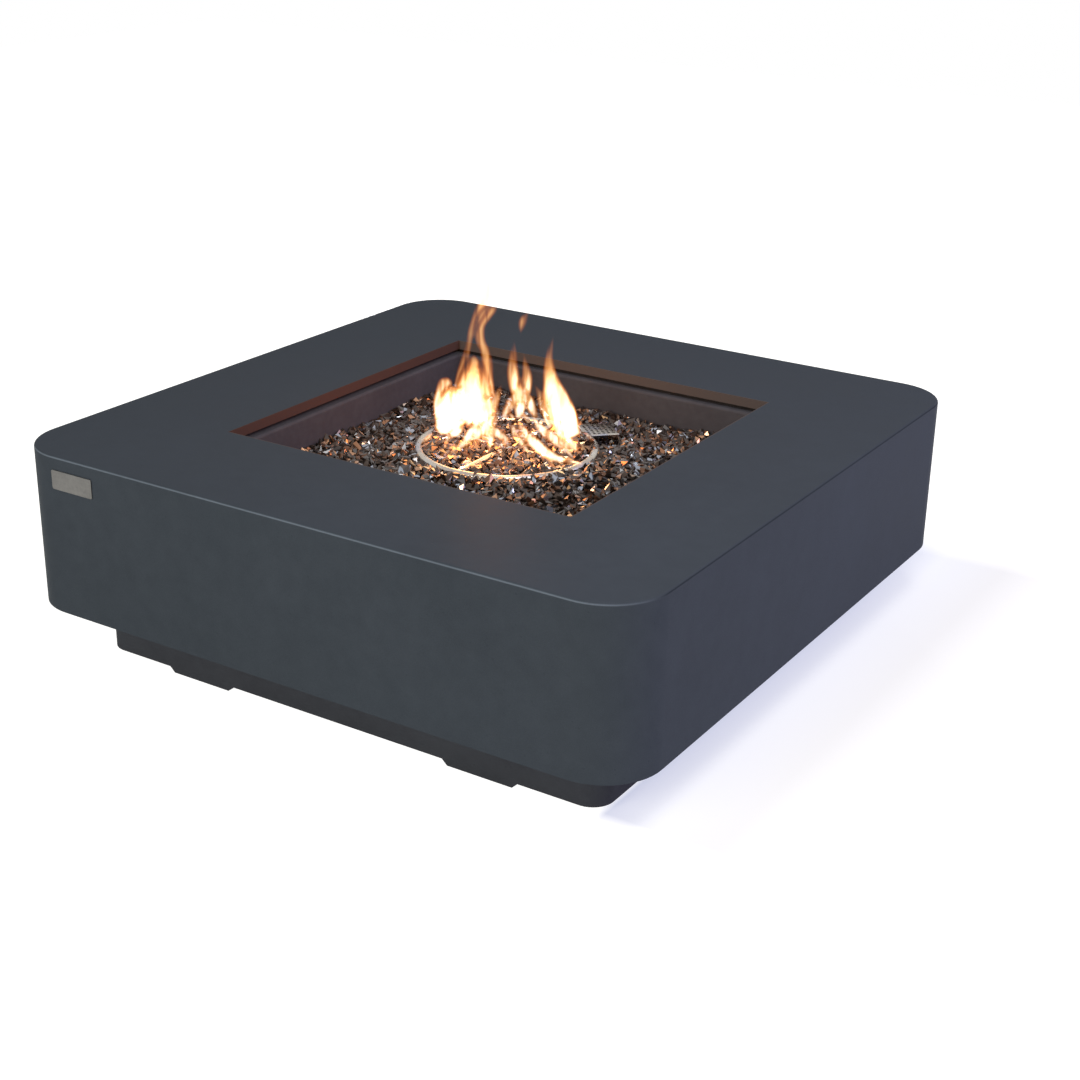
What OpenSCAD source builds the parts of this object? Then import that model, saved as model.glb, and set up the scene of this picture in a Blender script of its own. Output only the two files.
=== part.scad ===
// Square low gas fire pit table: a cast concrete shell on a recessed plinth, a steel pan
// with a ring burner under a bed of fire glass, and the gas and spark controls at the back.
// Millimetres, +Z up, origin on the floor under the middle, -Y is the front with the badge.

/* [Table body] */
// Outside width of the square body
table_w = 1070; // [980:1:1200]
// Height of the deck above the floor
table_h = 350; // [340:1:400]
// Plan radius of the upright corners
corner_r = 90; // [60:1:140]
// Rounding of the deck's outer edge
edge_r = 4; // [2:0.5:8]
// Thickness of the side walls
wall_t = 20; // [17:0.5:26]
// Thickness of the deck
deck_t = 15.5; // [13:0.5:22]
// Thickness of the underside
soffit_t = 16; // [10:1:20]
// Height of the underside above the floor
base_h = 98; // [80:1:104]
// Width of the underside's ledge inside the plinth's wall
soffit_ledge = 26; // [16:1:40]

/* [Plinth] */
// Outside width of the recessed plinth
plinth_w = 900; // [890:1:905]
// Plan radius of the plinth's corners
plinth_r = 34; // [30:1:60]
// Thickness of the plinth's wall
plinth_t = 24; // [22:1:34]
// Height of the feet under the plinth
foot_h = 8.5; // [4:0.5:20]
// Length of one foot where it meets the floor
foot_w = 108; // [60:1:160]
// Slope run at each end of a foot
foot_slope = 9; // [3:0.5:20]
// Distance of a foot's middle from the middle of its side
foot_x = 255; // [180:1:300]
// Radius of the bolts between body and plinth
bolt_r = 4; // [3:0.5:5]
// Distance of a bolt from the middle of its side
bolt_x = 300; // [150:1:360]

/* [Fire bowl] */
// Width of the square opening in the deck
opening_w = 610; // [600:1:640]
// Inside width of the pan
pan_w = 592; // [580:1:598]
// Depth of the pan below its flange
pan_depth = 80.5; // [76:0.5:100]
// Thickness of the pan's sheet
pan_t = 1.6; // [1.2:0.1:3]
// Outer radius of the bend between flange and wall
bend_r = 5; // [3.5:0.5:8]
// Thickness of the heat gasket between deck and flange
gasket_t = 6; // [3:0.5:8]
// Width of the gasket
gasket_w = 14; // [8:1:24]
// How far the gasket is set back from the opening
gasket_back = 8; // [4:1:16]
// Radius of the studs that hold the pan
stud_r = 3; // [2:0.5:4]
// Distance of a stud from the middle of its side
stud_x = 200; // [120:1:280]
// Depth of the glass along the pan's walls
glass_depth = 31; // [20:1:40]
// Height of the mound of glass over that level
mound_h = 20; // [10:1:22]
// Radius of the flat top of the mound
mound_top_r = 160; // [150:1:175]
// Radius of the foot of the mound
mound_foot_r = 262; // [240:1:280]
// How far the hood stands out of the glass round it
hood_out = 20; // [12:1:24]
// Width of the flat floor of the hollow round the hood
hollow_w = 8; // [4:1:16]
// Run of the slope from that hollow up to the hood's top
hollow_run = 45; // [20:1:55]
// Spacing of the large lumps of glass
lump_step = 44; // [28:1:60]
// Length of a large lump of glass
lump_l = 28; // [16:1:30]
// Thickness of a large lump of glass
lump_t = 12; // [8:1:16]
// How far a large lump stands out of the bed
lump_out = 5; // [2:0.5:5.5]

/* [Burner] */
// Outside diameter of the burner ring
ring_d = 294; // [260:1:310]
// Radius of the ring's tube
ring_tube_r = 7; // [6:0.5:8]
// Radius of the four spokes
spoke_r = 5; // [4:0.5:6]
// Depth of the ring's top below the deck
ring_drop = 46; // [40:1:52]
// Wall of the ring, spokes and hub
burner_t = 1.2; // [0.8:0.1:2]
// Radius of one gas port
port_r = 0.9; // [0.6:0.1:1.2]
// Number of gas ports round the ring
ring_ports = 40; // [24:4:60]
// Radius of the hub
hub_r = 17; // [16.5:0.5:20]
// Length of the hub
hub_h = 22; // [20:1:28]
// Radius of the inlet nipple
nipple_r = 10.65; // [9:0.05:11]
// Bore radius of the nipple
nipple_bore_r = 7.9; // [5:0.1:8.2]
// Thickness of a lock nut
locknut_t = 6; // [4:0.5:8]
// Length of the air mixer
mixer_l = 46; // [42:1:50]
// Wall of the air mixer
mixer_t = 3; // [2.5:0.1:4]
// Height of the mixer's air windows
window_h = 16; // [10:1:18]
// Width of the mixer's air windows
window_w = 12; // [8:1:14]
// Wall of the turning air shutter
shutter_t = 1.2; // [0.8:0.1:2]
// Radius of the gas tube
tube_r = 4.75; // [4:0.05:5]
// Wall of the gas tube
tube_t = 0.8; // [0.6:0.1:1.2]

/* [Igniter] */
// Side of the perforated hood
hood_w = 56; // [50:1:58]
// Height of the hood above the pan's floor
hood_h = 46; // [40:1:52]
// Sheet of the hood
hood_t = 1; // [0.8:0.1:1.5]
// Distance of the hood from the middle of the table
hood_far = 184; // [182:1:200]
// Direction of the hood, from +X
hood_bearing = 69; // [60:1:80]
// Turn of the hood about its own middle
hood_turn = 47; // [40:1:55]
// Radius of the holes in the hood's top
hood_hole_r = 2.4; // [1:0.1:2.6]
// Radius of the holes in the hood's sides
hood_side_hole_r = 2.6; // [1.5:0.1:3]
// Holes along one side of the hood
hood_holes = 6; // [4:1:6]
// Distance of electrode and thermocouple from the hood's middle
probe_x = 12; // [9:0.5:14]
// Radius of the electrode's ceramic
ceramic_r = 3.5; // [3:0.1:4]
// Radius of the thermocouple
thermocouple_r = 3; // [2.5:0.1:3.5]
// Radius of the ignition lead
ignition_lead_r = 1.5; // [1.2:0.1:1.8]
// Radius of the thermocouple lead
thermocouple_lead_r = 1.2; // [1:0.1:1.5]

/* [Controls] */
// Width of the niche for the controls
niche_w = 150; // [140:1:170]
// Height of the niche
niche_h = 80; // [70:1:84]
// Depth of the niche
niche_d = 36; // [35:0.5:44]
// Sheet of the niche
niche_t = 1.5; // [1:0.1:2]
// Width of the flange round the niche
niche_flange = 14; // [11:0.5:15]
// Radius of the knob
knob_r = 21; // [18:0.5:24]
// Thickness of the knob's disc
knob_disc_t = 8; // [6:0.5:10]
// Height of the knob's grip
knob_grip_h = 12; // [8:0.5:13]
// Width of the knob's grip
knob_grip_w = 12; // [10:0.5:16]
// How far the knob is pushed in to light the fire
knob_push = 3; // [1:0.5:3.5]
// Distance from the knob to the igniter button
button_x = 70; // [60:1:80]
// Radius of the igniter button
button_r = 8.5; // [8:0.1:9]
// How far the igniter button is pressed
button_push = 4; // [2:0.5:4.5]
// Radius of the valve's stem
stem_r = 4; // [3:0.1:4.4]
// Radius of the gas inlet's flare fitting
inlet_r = 7.94; // [6:0.01:9]
// Length of the gas inlet's flare fitting
inlet_l = 16; // [12:1:18]
// Radius of the hose hole in the underside
hose_hole_r = 20; // [16:0.5:21]

/* [Badge] */
// Width of the badge plate
badge_w = 80; // [50:1:120]
// Height of the badge plate
badge_h = 30; // [20:1:50]
// Thickness of the badge plate
badge_t = 2; // [1:0.1:3]
// Rounding of the badge plate's corners
badge_r = 3; // [1:0.5:6]
// Distance of the badge from the flat front's left end
badge_in = 0; // [0:1:200]
// Distance of the badge below the deck
badge_drop = 20.5; // [12:0.5:60]

/* [Clearances] */
// Radial gap of a fixed pin, stud or tube in its hole
fixed_gap = 0.05; // [0.02:0.01:0.1]
// Radial gap of a part that turns or slides
running_gap = 0.06; // [0.03:0.01:0.1]
// Radial gap of a screw in a plain hole
screw_gap = 0.4; // [0.2:0.05:0.6]
// Gap round loose glass and pressed-in trim
loose_gap = 0.3; // [0.2:0.05:0.5]
// End gap of a part that turns
end_gap = 0.1; // [0.05:0.05:0.3]

/* [Hidden] */
$fn = 64;
// Overshoot of a cutting shape past the face that it cuts
over = 1;

// Heights, from the deck down
deck_under = table_h - deck_t;
flange_z = deck_under - gasket_t;
floor_z = flange_z - pan_depth;
floor_under = floor_z - pan_t;
soffit_top = base_h + soffit_t;
glass_z = floor_z + glass_depth;
ring_z = table_h - ring_drop - ring_tube_r;
hub_sink = 1;
hub_top = ring_z + ring_tube_r - hub_sink;
hub_under = hub_top - hub_h;
// How far a pipe or tube goes into its socket
socket_l = 10;
tube_socket_l = 8;
nipple_gap = 2;
nipple_under = floor_under - locknut_t - nipple_gap - socket_l;
mixer_top = nipple_under + socket_l;
mixer_under = mixer_top - mixer_l;
orifice_h = 6;
elbow_r = 8.5;
control_z = mixer_under - orifice_h - elbow_r;

// Burner, in plan
ring_r = ring_d / 2 - ring_tube_r;
mixer_r = nipple_r + fixed_gap + mixer_t;
shutter_r = mixer_r + running_gap;
mixer_lip_w = 1;
mixer_lip_r = mixer_r + shutter_t + mixer_lip_w;
mixer_lip_t = 2;
mixer_floor_t = 5;
window_rise = 4;
window_z = mixer_under + mixer_lip_t + window_rise;
shutter_rise = 5;
locknut_rim = 3.5;
locknut_af = 2 * (nipple_r + locknut_rim);
hub_t = 4;
spoke_ports = 4;
spoke_port_step = 22;
jet_seat_r = 5;
jet_seat_l = 7;
jet_r = 0.9;
jet_af = 14;

// Pan flange and its studs
flange_screw_rim = 8;
stud_gap = 2;
rim_half = max(opening_w / 2, pan_w / 2 + bend_r);
gasket_half = rim_half + gasket_back;
stud_line = gasket_half + gasket_w + stud_gap + stud_r;
flange_half = stud_line + flange_screw_rim;
stud_bite = 10;
stud_end = 4;
nut_h = 5.1;
nut_af = 10;
stud_washer_r = 6;
washer_t = 1.6;
drain_r = 5;
drain_in = 40;

// Opening in the underside, and the body bolts along the middle of the plinth's wall
soffit_open_w = plinth_w - 2 * plinth_t - 2 * soffit_ledge;
bolt_line = plinth_w / 2 - plinth_t / 2;
bolt_bite = 24;
bolt_washer_r = 8.8;
bolt_head_af = 13;
bolt_head_h = 5.2;
// Empty end of a blind hole
blind_gap = 1;

// Back wall and the controls in it, from the outside in
back_y = table_w / 2;
plate_out = back_y - niche_d;
plate_in = plate_out - niche_t;
knob_at = [0, control_z];
button_at = [-button_x, control_z];
niche_foot = 2.5;
niche_at = [-button_x / 2, max(control_z, soffit_top + niche_foot + niche_h / 2)];
niche_screw_r = 2;
niche_screw_l = 14;
niche_screw_head_r = 3.8;
niche_screw_head_t = 2;
niche_screw_key_af = 2.5;
valve_w = 36;
valve_h = 46;
valve_l = 40;
valve_rear = plate_in - valve_l;
valve_y = plate_in - valve_l / 2;
bush_r = 9;
bush_proud = 8.5;
bush_out = plate_out + bush_proud;
panel_nut_t = 5;
panel_nut_af = 24;
plunger_t = 2;
plunger_r = stem_r + plunger_t;
plunger_sink = 2;
plunger_out = bush_out - plunger_sink;
plunger_l = 14;
plunger_in = plunger_out - plunger_l;
collar_t = 1.5;
collar_r = stem_r + 1.5;
plug_r = 9;
plug_sink = 14;
plug_front = plate_in - plug_sink;
plug_l = 18;
plug_way_r = 3;
plug_web = 2;
plug_way_back = 3;
valve_front_t = 2;
plug_rear = plug_front - plug_l;
chamber_r = plug_r + running_gap;
tang_t = 3;
tang_grip = 2.5;
tang_gap = 0.15;
push_gap = 1;
slot_depth = tang_grip + knob_push + push_gap;
stem_shoulder = plug_front + knob_push + push_gap;
knob_back = bush_out + knob_push + push_gap;
knob_face = knob_back + knob_disc_t;
knob_out = knob_face + knob_grip_h;
knob_rim = 1.5;
pointer_w = 2;
pointer_l = 11;
pointer_t = 0.8;
pointer_in = 4;
outlet_r = 8;
outlet_l = 12;
outlet_y = valve_rear - outlet_l;
gas_way_r = tube_r - tube_t;
elbow_way_r = gas_way_r - 1;
inlet_boss_r = 10;
inlet_boss_l = 8;
inlet_hex_h = 7;
inlet_hex_af = 19;
inlet_spigot_l = 6;
inlet_way_r = gas_way_r - 1.2;
inlet_top = control_z - valve_h / 2 - inlet_boss_l;
sensor_boss_r = 6;
sensor_boss_l = 10;
sensor_x = valve_w / 2 + sensor_boss_l;
elbow_arm_r = 8;
elbow_arm_l = 14;
tube_front = elbow_r + elbow_arm_l;
tube_nut_l = 12;
tube_nut_af = 17;

// Igniter module behind the button
bezel_w = 5.5;
bezel_r = button_r + bezel_w;
bezel_t = 3;
barrel_t = 2.5;
barrel_r = button_r + barrel_t;
module_out = plate_out + bezel_t;
button_proud = 4;
button_l = 12;
button_in = module_out + button_proud - button_l;
battery_r = 7.15;
battery_l = 50.5;
battery_cap_r = 2.7;
battery_cap_l = 1.2;
spring_room = 2;
battery_front = button_in - button_push - spring_room;
battery_rear = battery_front - battery_l;
module_end_t = 4;
module_rear = battery_rear - module_end_t;
tail_r = 4;
tail_l = 7;
tail_y = module_rear - tail_l;
igniter_nut_t = 6;
igniter_nut_rim = 3;
button_dish_r = 26;
button_dish = 1;

// Hood over the electrode and the thermocouple
hood_at = hood_far * [cos(hood_bearing), sin(hood_bearing)];
hood_way = [cos(hood_turn), sin(hood_turn)];
hood_top = floor_z + hood_h;
hollow_r = hood_w / sqrt(2) + hollow_w;
lump_r = lump_l / 2;
lump_top_r = 0.65 * lump_r;
lump_sides = 5;
lump_tilt = 32;
lump_tilt_range = 16;
lump_jitter = 6;
lump_seed = 700;
electrode_at = hood_at - probe_x * hood_way;
thermocouple_at = hood_at + probe_x * hood_way;
probe_drop = 22;
probe_under = floor_under - probe_drop;
probe_nut_t = 5;
probe_flange_t = 2.5;
probe_flange_r = 6;
probe_nut_rim = 2.5;
ceramic_h = 24;
rod_r = 1.2;
rod_h = 34;
thermocouple_h = 32;
tab_l = 9;
tab_w = 14;
hood_screw_r = 2;
hood_screw_end = 6;
hood_screw_head_r = 3.6;
hood_screw_head_t = 2.2;
hood_hole_edge = 4;
hood_side_hole_in = 9;

// Springs: wire radius, number of curls, rings to a curl and sides
wire_r = 0.45;
spring_curls = 3;
curl_rings = 8;
wire_sides = 6;
lead_sides = 8;
lead_steps = 5;
spring_seat_gap = 0.3;
coil_gap = 1.2;
coil_inset = 3;

// Routes of the two leads, by hand, from the controls to the hood
ignition_route = [[-button_x, tail_y, control_z], [-button_x, tail_y - 16, control_z], [-62, 376, 184],
    [-30, 330, 200], [10, 290, 206], [42, 240, 204], [56, 190, 200],
    [electrode_at[0], electrode_at[1], probe_under - 14], [electrode_at[0], electrode_at[1], probe_under]];
sensor_route = [[sensor_x, valve_y, control_z], [sensor_x + 14, valve_y, control_z], [64, 462, 182],
    [74, 420, 190], [76, 350, 196], [78, 280, 200], [76, 220, 200],
    [thermocouple_at[0], thermocouple_at[1], probe_under - 14],
    [thermocouple_at[0], thermocouple_at[1], probe_under]];

CONCRETE = [0.255, 0.275, 0.3];
PLINTH = [0.22, 0.235, 0.25];
STEEL = [0.62, 0.62, 0.63];
DARK_STEEL = [0.2, 0.19, 0.19];
BRASS = [0.78, 0.62, 0.3];
COPPER = [0.72, 0.44, 0.3];
BLACK = [0.06, 0.06, 0.065];
GLASS = [0.3, 0.2, 0.15];
WHITE = [0.9, 0.89, 0.86];

// Shapes that repeat

// A square with round corners, about the origin
module rounded_square(w, r) {
    square([w - 2 * r, w], center = true);
    square([w, w - 2 * r], center = true);
    for (sx = [-1, 1], sy = [-1, 1])
        translate([sx * (w / 2 - r), sy * (w / 2 - r)])
            circle(r);
}

// A square frame with sharp corners, from one height up to another
module square_frame(inside, outside, low, high) {
    translate([0, 0, low])
        linear_extrude(high - low)
            difference() {
                square(outside, center = true);
                square(inside, center = true);
            }
}

// A post along Z between two heights
module post(r, low, high, sides = $fn) {
    translate([0, 0, low])
        cylinder(r = r, h = high - low, $fn = sides);
}

// A rod along Y through a point of the back wall, between two depths
module rod_y(at, r, near, far, sides = $fn) {
    translate([at[0], near, at[1]])
        rotate([-90, 0, 0])
            cylinder(r = r, h = far - near, $fn = sides);
}

// A hexagon's corner radius from its width across flats
function hex_r(af) = af / sqrt(3);

// Copies on all four sides, at both places along each side
module each_side(along, line) {
    for (turn = [0, 90, 180, 270], sx = [-1, 1])
        rotate(turn)
            translate([sx * along, -line, 0])
                children();
}

// A block between two depths, centred on a point of the back wall
module block_y(at, w, h, near, far) {
    translate([at[0] - w / 2, near, at[1] - h / 2])
        cube([w, far - near, h]);
}

// Tubes along a path

function unit(v) = v / norm(v);
function heading(path, i) = unit(path[min(i + 1, len(path) - 1)] - path[max(i - 1, 0)]);
function ring_at(centre, way, side, r, sides) =
    let (u = unit(cross(way, side)), v = cross(way, u))
    [for (k = [0 : sides - 1]) centre + r * (cos(360 * k / sides) * u + sin(360 * k / sides) * v)];
function between(a, b, c, d, t) =
    0.5 * (2 * b + (c - a) * t + (2 * a - 5 * b + 4 * c - d) * t * t + (3 * b - a - 3 * c + d) * t * t * t);
function smooth(p, steps) = [
    for (i = [0 : len(p) - 2], k = [0 : steps - 1])
        between(p[max(i - 1, 0)], p[i], p[i + 1], p[min(i + 2, len(p) - 1)], k / steps),
    p[len(p) - 1]];
function coil(at, r, near, far, curls) = [
    for (i = [0 : curls * curl_rings])
        let (turn = 360 * i / curl_rings)
        [at[0] + r * cos(turn), near + (far - near) * i / (curls * curl_rings), at[1] + r * sin(turn)]];

// A closed tube along a path; side is a direction that the path never takes
module swept_tube(path, r, sides, side) {
    last = len(path) - 1;
    middle = sides * (last + 1);
    rings = [for (i = [0 : last]) each ring_at(path[i], heading(path, i), side, r, sides)];
    skin = [for (i = [0 : last - 1], k = [0 : sides - 1])
        let (a = i * sides + k, b = i * sides + (k + 1) % sides)
        each [[a, a + sides, b], [b, a + sides, b + sides]]];
    caps = [for (k = [0 : sides - 1])
        let (next = (k + 1) % sides)
        each [[k, next, middle], [last * sides + next, last * sides + k, middle + 1]]];
    polyhedron(concat(rings, [path[0], path[last]]), concat(skin, caps));
}

// Concrete body and plinth

// One side of the deck's rounded outer edge, with the corner at its end
module deck_edge() {
    run = table_w / 2 - corner_r;
    translate([-run, -table_w / 2 + edge_r, table_h - edge_r])
        rotate([90, 0, 90])
            linear_extrude(2 * run)
                edge_quarter(180);
    translate([run, -run, table_h - edge_r])
        rotate(-90)
            rotate_extrude(angle = 90)
                translate([corner_r - edge_r, 0])
                    edge_quarter(90);
}

// A quarter of a disc, which ends at the given angle
module edge_quarter(end) {
    intersection() {
        circle(edge_r);
        rotate(end - 90)
            square(edge_r);
    }
}

module concrete_shell() {
    color(CONCRETE)
        difference() {
            union() {
                translate([0, 0, base_h])
                    linear_extrude(table_h - edge_r - base_h)
                        rounded_square(table_w, corner_r);
                translate([0, 0, table_h - edge_r])
                    linear_extrude(edge_r)
                        rounded_square(table_w - 2 * edge_r, corner_r - edge_r);
                for (turn = [0, 90, 180, 270])
                    rotate(turn)
                        deck_edge();
            }
            translate([0, 0, soffit_top])
                linear_extrude(deck_under - soffit_top)
                    rounded_square(table_w - 2 * wall_t, corner_r - wall_t);
            translate([0, 0, deck_under - over])
                linear_extrude(deck_t + 2 * over)
                    square(opening_w, center = true);
            translate([0, 0, base_h - over])
                linear_extrude(soffit_t + 2 * over)
                    square(soffit_open_w, center = true);
            each_side(stud_x, stud_line)
                post(stud_r + fixed_gap, deck_under - over, deck_under + stud_bite);
            each_side(bolt_x, bolt_line)
                post(bolt_r + screw_gap, base_h - over, soffit_top + over);
            translate([0, valve_y, 0])
                post(hose_hole_r, base_h - over, soffit_top + over);
            block_y(niche_at, niche_w + 2 * niche_t + 2 * loose_gap, niche_h + 2 * niche_t + 2 * loose_gap,
                back_y - wall_t - over, back_y + over);
            block_y(niche_at, niche_flange_w() + 2 * loose_gap, niche_flange_h() + 2 * loose_gap,
                back_y - niche_t, back_y + over);
            niche_screw_places()
                rod_y([0, 0], niche_screw_r + fixed_gap, back_y - niche_screw_l - blind_gap, back_y + over);
        }
}

module base_plinth() {
    color(PLINTH)
        difference() {
            union() {
                translate([0, 0, foot_h])
                    linear_extrude(base_h - foot_h)
                        difference() {
                            rounded_square(plinth_w, plinth_r);
                            rounded_square(plinth_w - 2 * plinth_t, plinth_r - plinth_t);
                        }
                each_side(foot_x, plinth_w / 2 - plinth_t)
                    rotate([90, 0, 0])
                        linear_extrude(plinth_t)
                            polygon([[-foot_w / 2, 0], [foot_w / 2, 0], [foot_w / 2 + foot_slope, foot_h],
                                [-foot_w / 2 - foot_slope, foot_h]]);
            }
            each_side(bolt_x, bolt_line)
                post(bolt_r + fixed_gap, base_h - bolt_bite - blind_gap, base_h + over);
        }
}

module base_washers() {
    color(STEEL)
        each_side(bolt_x, bolt_line)
            difference() {
                post(bolt_washer_r, soffit_top, soffit_top + washer_t);
                post(bolt_r + screw_gap, soffit_top - over, soffit_top + washer_t + over);
            }
}

module base_bolts() {
    head = soffit_top + washer_t;
    color(DARK_STEEL)
        each_side(bolt_x, bolt_line) {
            post(bolt_r, base_h - bolt_bite, head);
            post(hex_r(bolt_head_af), head, head + bolt_head_h, 6);
        }
}

// Pan and what holds it

// One side of the pan, mitred at both ends: wall, bend and flange
module pan_side() {
    wall_in = pan_w / 2;
    bend_x = wall_in + bend_r;
    intersection() {
        rotate([90, 0, 90])
            translate([0, 0, -flange_half])
                linear_extrude(2 * flange_half)
                    mirror([1, 0]) {
                        translate([wall_in, floor_under])
                            square([pan_t, flange_z - bend_r - floor_under]);
                        translate([bend_x, flange_z - pan_t])
                            square([flange_half - bend_x, pan_t]);
                        translate([bend_x, flange_z - bend_r])
                            intersection() {
                                difference() {
                                    circle(bend_r);
                                    circle(bend_r - pan_t);
                                }
                                translate([-bend_r, 0])
                                    square(bend_r);
                            }
                    }
        translate([0, 0, floor_under])
            linear_extrude(flange_z - floor_under)
                polygon([[0, 0], [-flange_half, -flange_half], [flange_half, -flange_half]]);
    }
}

module burner_pan() {
    drain_at = pan_w / 2 - drain_in;
    color(DARK_STEEL)
        difference() {
            union() {
                for (turn = [0, 90, 180, 270])
                    rotate(turn)
                        pan_side();
                translate([0, 0, floor_under])
                    linear_extrude(pan_t)
                        square(pan_w, center = true);
            }
            post(nipple_r + screw_gap, floor_under - over, floor_z + over);
            for (sx = [-1, 1], sy = [-1, 1])
                translate([sx * drain_at, sy * drain_at, 0])
                    post(drain_r, floor_under - over, floor_z + over);
            translate(electrode_at)
                post(ceramic_r + screw_gap, floor_under - over, floor_z + over);
            translate(thermocouple_at)
                post(thermocouple_r + screw_gap, floor_under - over, floor_z + over);
            hood_screw_places()
                post(hood_screw_r + fixed_gap, floor_under - over, floor_z + over);
            each_side(stud_x, stud_line)
                post(stud_r + screw_gap, flange_z - pan_t - over, flange_z + over);
        }
}

module pan_gasket() {
    color(WHITE)
        square_frame(2 * gasket_half, 2 * (gasket_half + gasket_w), flange_z, deck_under);
}

module pan_studs() {
    low = flange_z - pan_t - washer_t - nut_h - stud_end;
    color(STEEL)
        each_side(stud_x, stud_line)
            post(stud_r, low, deck_under + stud_bite - blind_gap);
}

module pan_washers() {
    top = flange_z - pan_t;
    color(STEEL)
        each_side(stud_x, stud_line)
            difference() {
                post(stud_washer_r, top - washer_t, top);
                post(stud_r + screw_gap, top - washer_t - over, top + over);
            }
}

module pan_nuts() {
    top = flange_z - pan_t - washer_t;
    color(STEEL)
        each_side(stud_x, stud_line)
            difference() {
                post(hex_r(nut_af), top - nut_h, top, 6);
                post(stud_r + fixed_gap, top - nut_h - over, top + over);
            }
}

// Height of the glass at a distance from the middle of the pan
function bed_z(far) = glass_z
    + mound_h * max(0, min(1, (mound_foot_r - far) / (mound_foot_r - mound_top_r)));

// One large lump of glass, tilted, with its highest point lump_out over the bed at a place in plan
module glass_lump(place, tilt, bearing) {
    rise = lump_t / 2 * cos(tilt) + lump_top_r * sin(tilt);
    translate([place[0], place[1], bed_z(norm(place)) + lump_out - rise])
        rotate([0, tilt, bearing])
            cylinder(r1 = lump_r, r2 = lump_top_r, h = lump_t, center = true, $fn = lump_sides);
}

// Large lumps in jittered, staggered rows, clear of the walls, the burner and the hollow round the hood
module glass_lumps() {
    count = floor((pan_w / 2 - lump_step / 2 - lump_jitter - lump_r) / lump_step);
    for (i = [-count : count], j = [-count : count]) {
        dice = rands(-1, 1, 4, lump_seed + i * (2 * count + 1) + j);
        place = lump_step * [i + abs(j) % 2 / 2, j] + lump_jitter * [dice[0], dice[1]];
        far = norm(place);
        clear_of_ring = abs(far - ring_r) > ring_tube_r + lump_top_r;
        clear_of_spokes = min(abs(place[0]), abs(place[1])) > spoke_r + lump_top_r;
        clear_of_hub = far > hub_r + lump_r;
        clear_of_hood = norm(place - hood_at) > hollow_r + hollow_run + lump_r;
        if (clear_of_ring && clear_of_spokes && clear_of_hub && clear_of_hood)
            glass_lump(place, lump_tilt + lump_tilt_range * dice[2], 180 * dice[3]);
    }
}

// Loose glass in the pan, one heap inside the ring and one outside, with room for the burner and the hood
module glass_bed() {
    fill = pan_w - 2 * loose_gap;
    top = glass_z + mound_h;
    hollow_z = hood_top - hood_out;
    color(GLASS)
        difference() {
            union() {
                translate([0, 0, floor_z])
                    linear_extrude(glass_depth)
                        square(fill, center = true);
                rotate_extrude()
                    polygon([[0, floor_z], [mound_foot_r, floor_z], [mound_foot_r, glass_z],
                        [mound_top_r, top], [0, top]]);
                glass_lumps();
            }
            difference() {
                translate([hood_at[0], hood_at[1], hollow_z])
                    cylinder(r1 = hollow_r, r2 = hollow_r + 2 * hollow_run, h = 2 * hood_out);
                post(ring_r, hollow_z - over, hollow_z + 2 * hood_out + over);
            }
            translate([0, 0, floor_z - over])
                linear_extrude(ring_z - floor_z)
                    difference() {
                        circle(ring_r + loose_gap);
                        circle(ring_r - loose_gap);
                    }
            translate([0, 0, ring_z - ring_tube_r - loose_gap])
                linear_extrude(mound_h + 2 * ring_tube_r)
                    difference() {
                        circle(ring_r + ring_tube_r + loose_gap);
                        circle(ring_r - ring_tube_r - loose_gap);
                    }
            for (turn = [0, 90, 180, 270])
                rotate(turn)
                    translate([0, -spoke_r - loose_gap, ring_z - spoke_r - loose_gap])
                        cube([ring_r, 2 * (spoke_r + loose_gap), mound_h + 2 * spoke_r]);
            post(hub_r + loose_gap, floor_z - over, top + over);
            translate([hood_at[0], hood_at[1], floor_z - over])
                rotate(hood_turn)
                    linear_extrude(top - floor_z + 2 * over)
                        square(hood_w + 2 * loose_gap, center = true);
        }
}

// Burner

// The ring in four quarters, which meet between two ports and clear of the spokes
module ring_tube(r) {
    translate([0, 0, ring_z])
        for (turn = [45, 135, 225, 315])
            rotate(turn)
                rotate_extrude(angle = 90)
                    translate([ring_r, 0])
                        circle(r);
}

module spoke(r) {
    translate([0, 0, ring_z])
        rotate([0, 90, 0])
            cylinder(r = r, h = ring_r);
}

module burner_ring() {
    color(STEEL)
        difference() {
            union() {
                ring_tube(ring_tube_r);
                for (turn = [0, 90, 180, 270])
                    rotate(turn)
                        spoke(spoke_r);
                post(hub_r, hub_under, hub_top);
            }
            ring_tube(ring_tube_r - burner_t);
            for (turn = [0, 90, 180, 270])
                rotate(turn)
                    spoke(spoke_r - burner_t);
            post(hub_r - hub_t, hub_under + socket_l, hub_top - burner_t);
            post(nipple_r + fixed_gap, hub_under - over, hub_under + socket_l);
            for (k = [0 : ring_ports - 1])
                rotate((k + 0.5) * 360 / ring_ports)
                    translate([ring_r, 0, 0])
                        post(port_r, ring_z, ring_z + ring_tube_r + over);
            for (turn = [0, 90, 180, 270], k = [1 : spoke_ports])
                rotate(turn)
                    translate([hub_r + k * spoke_port_step, 0, 0])
                        post(port_r, ring_z, ring_z + spoke_r + over);
        }
}

module inlet_nipple() {
    color(STEEL)
        difference() {
            post(nipple_r, nipple_under, hub_under + socket_l);
            post(nipple_bore_r, nipple_under - over, hub_under + socket_l + over);
        }
}

module burner_locknuts() {
    color(BRASS)
        for (low = [floor_z, floor_under - locknut_t])
            difference() {
                post(hex_r(locknut_af), low, low + locknut_t, 6);
                post(nipple_r + fixed_gap, low - over, low + locknut_t + over);
            }
}

// Two windows opposite each other, through a wall of the given radius
module air_windows(r) {
    translate([-r - over, -window_w / 2, window_z])
        cube([2 * (r + over), window_w, window_h]);
}

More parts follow.
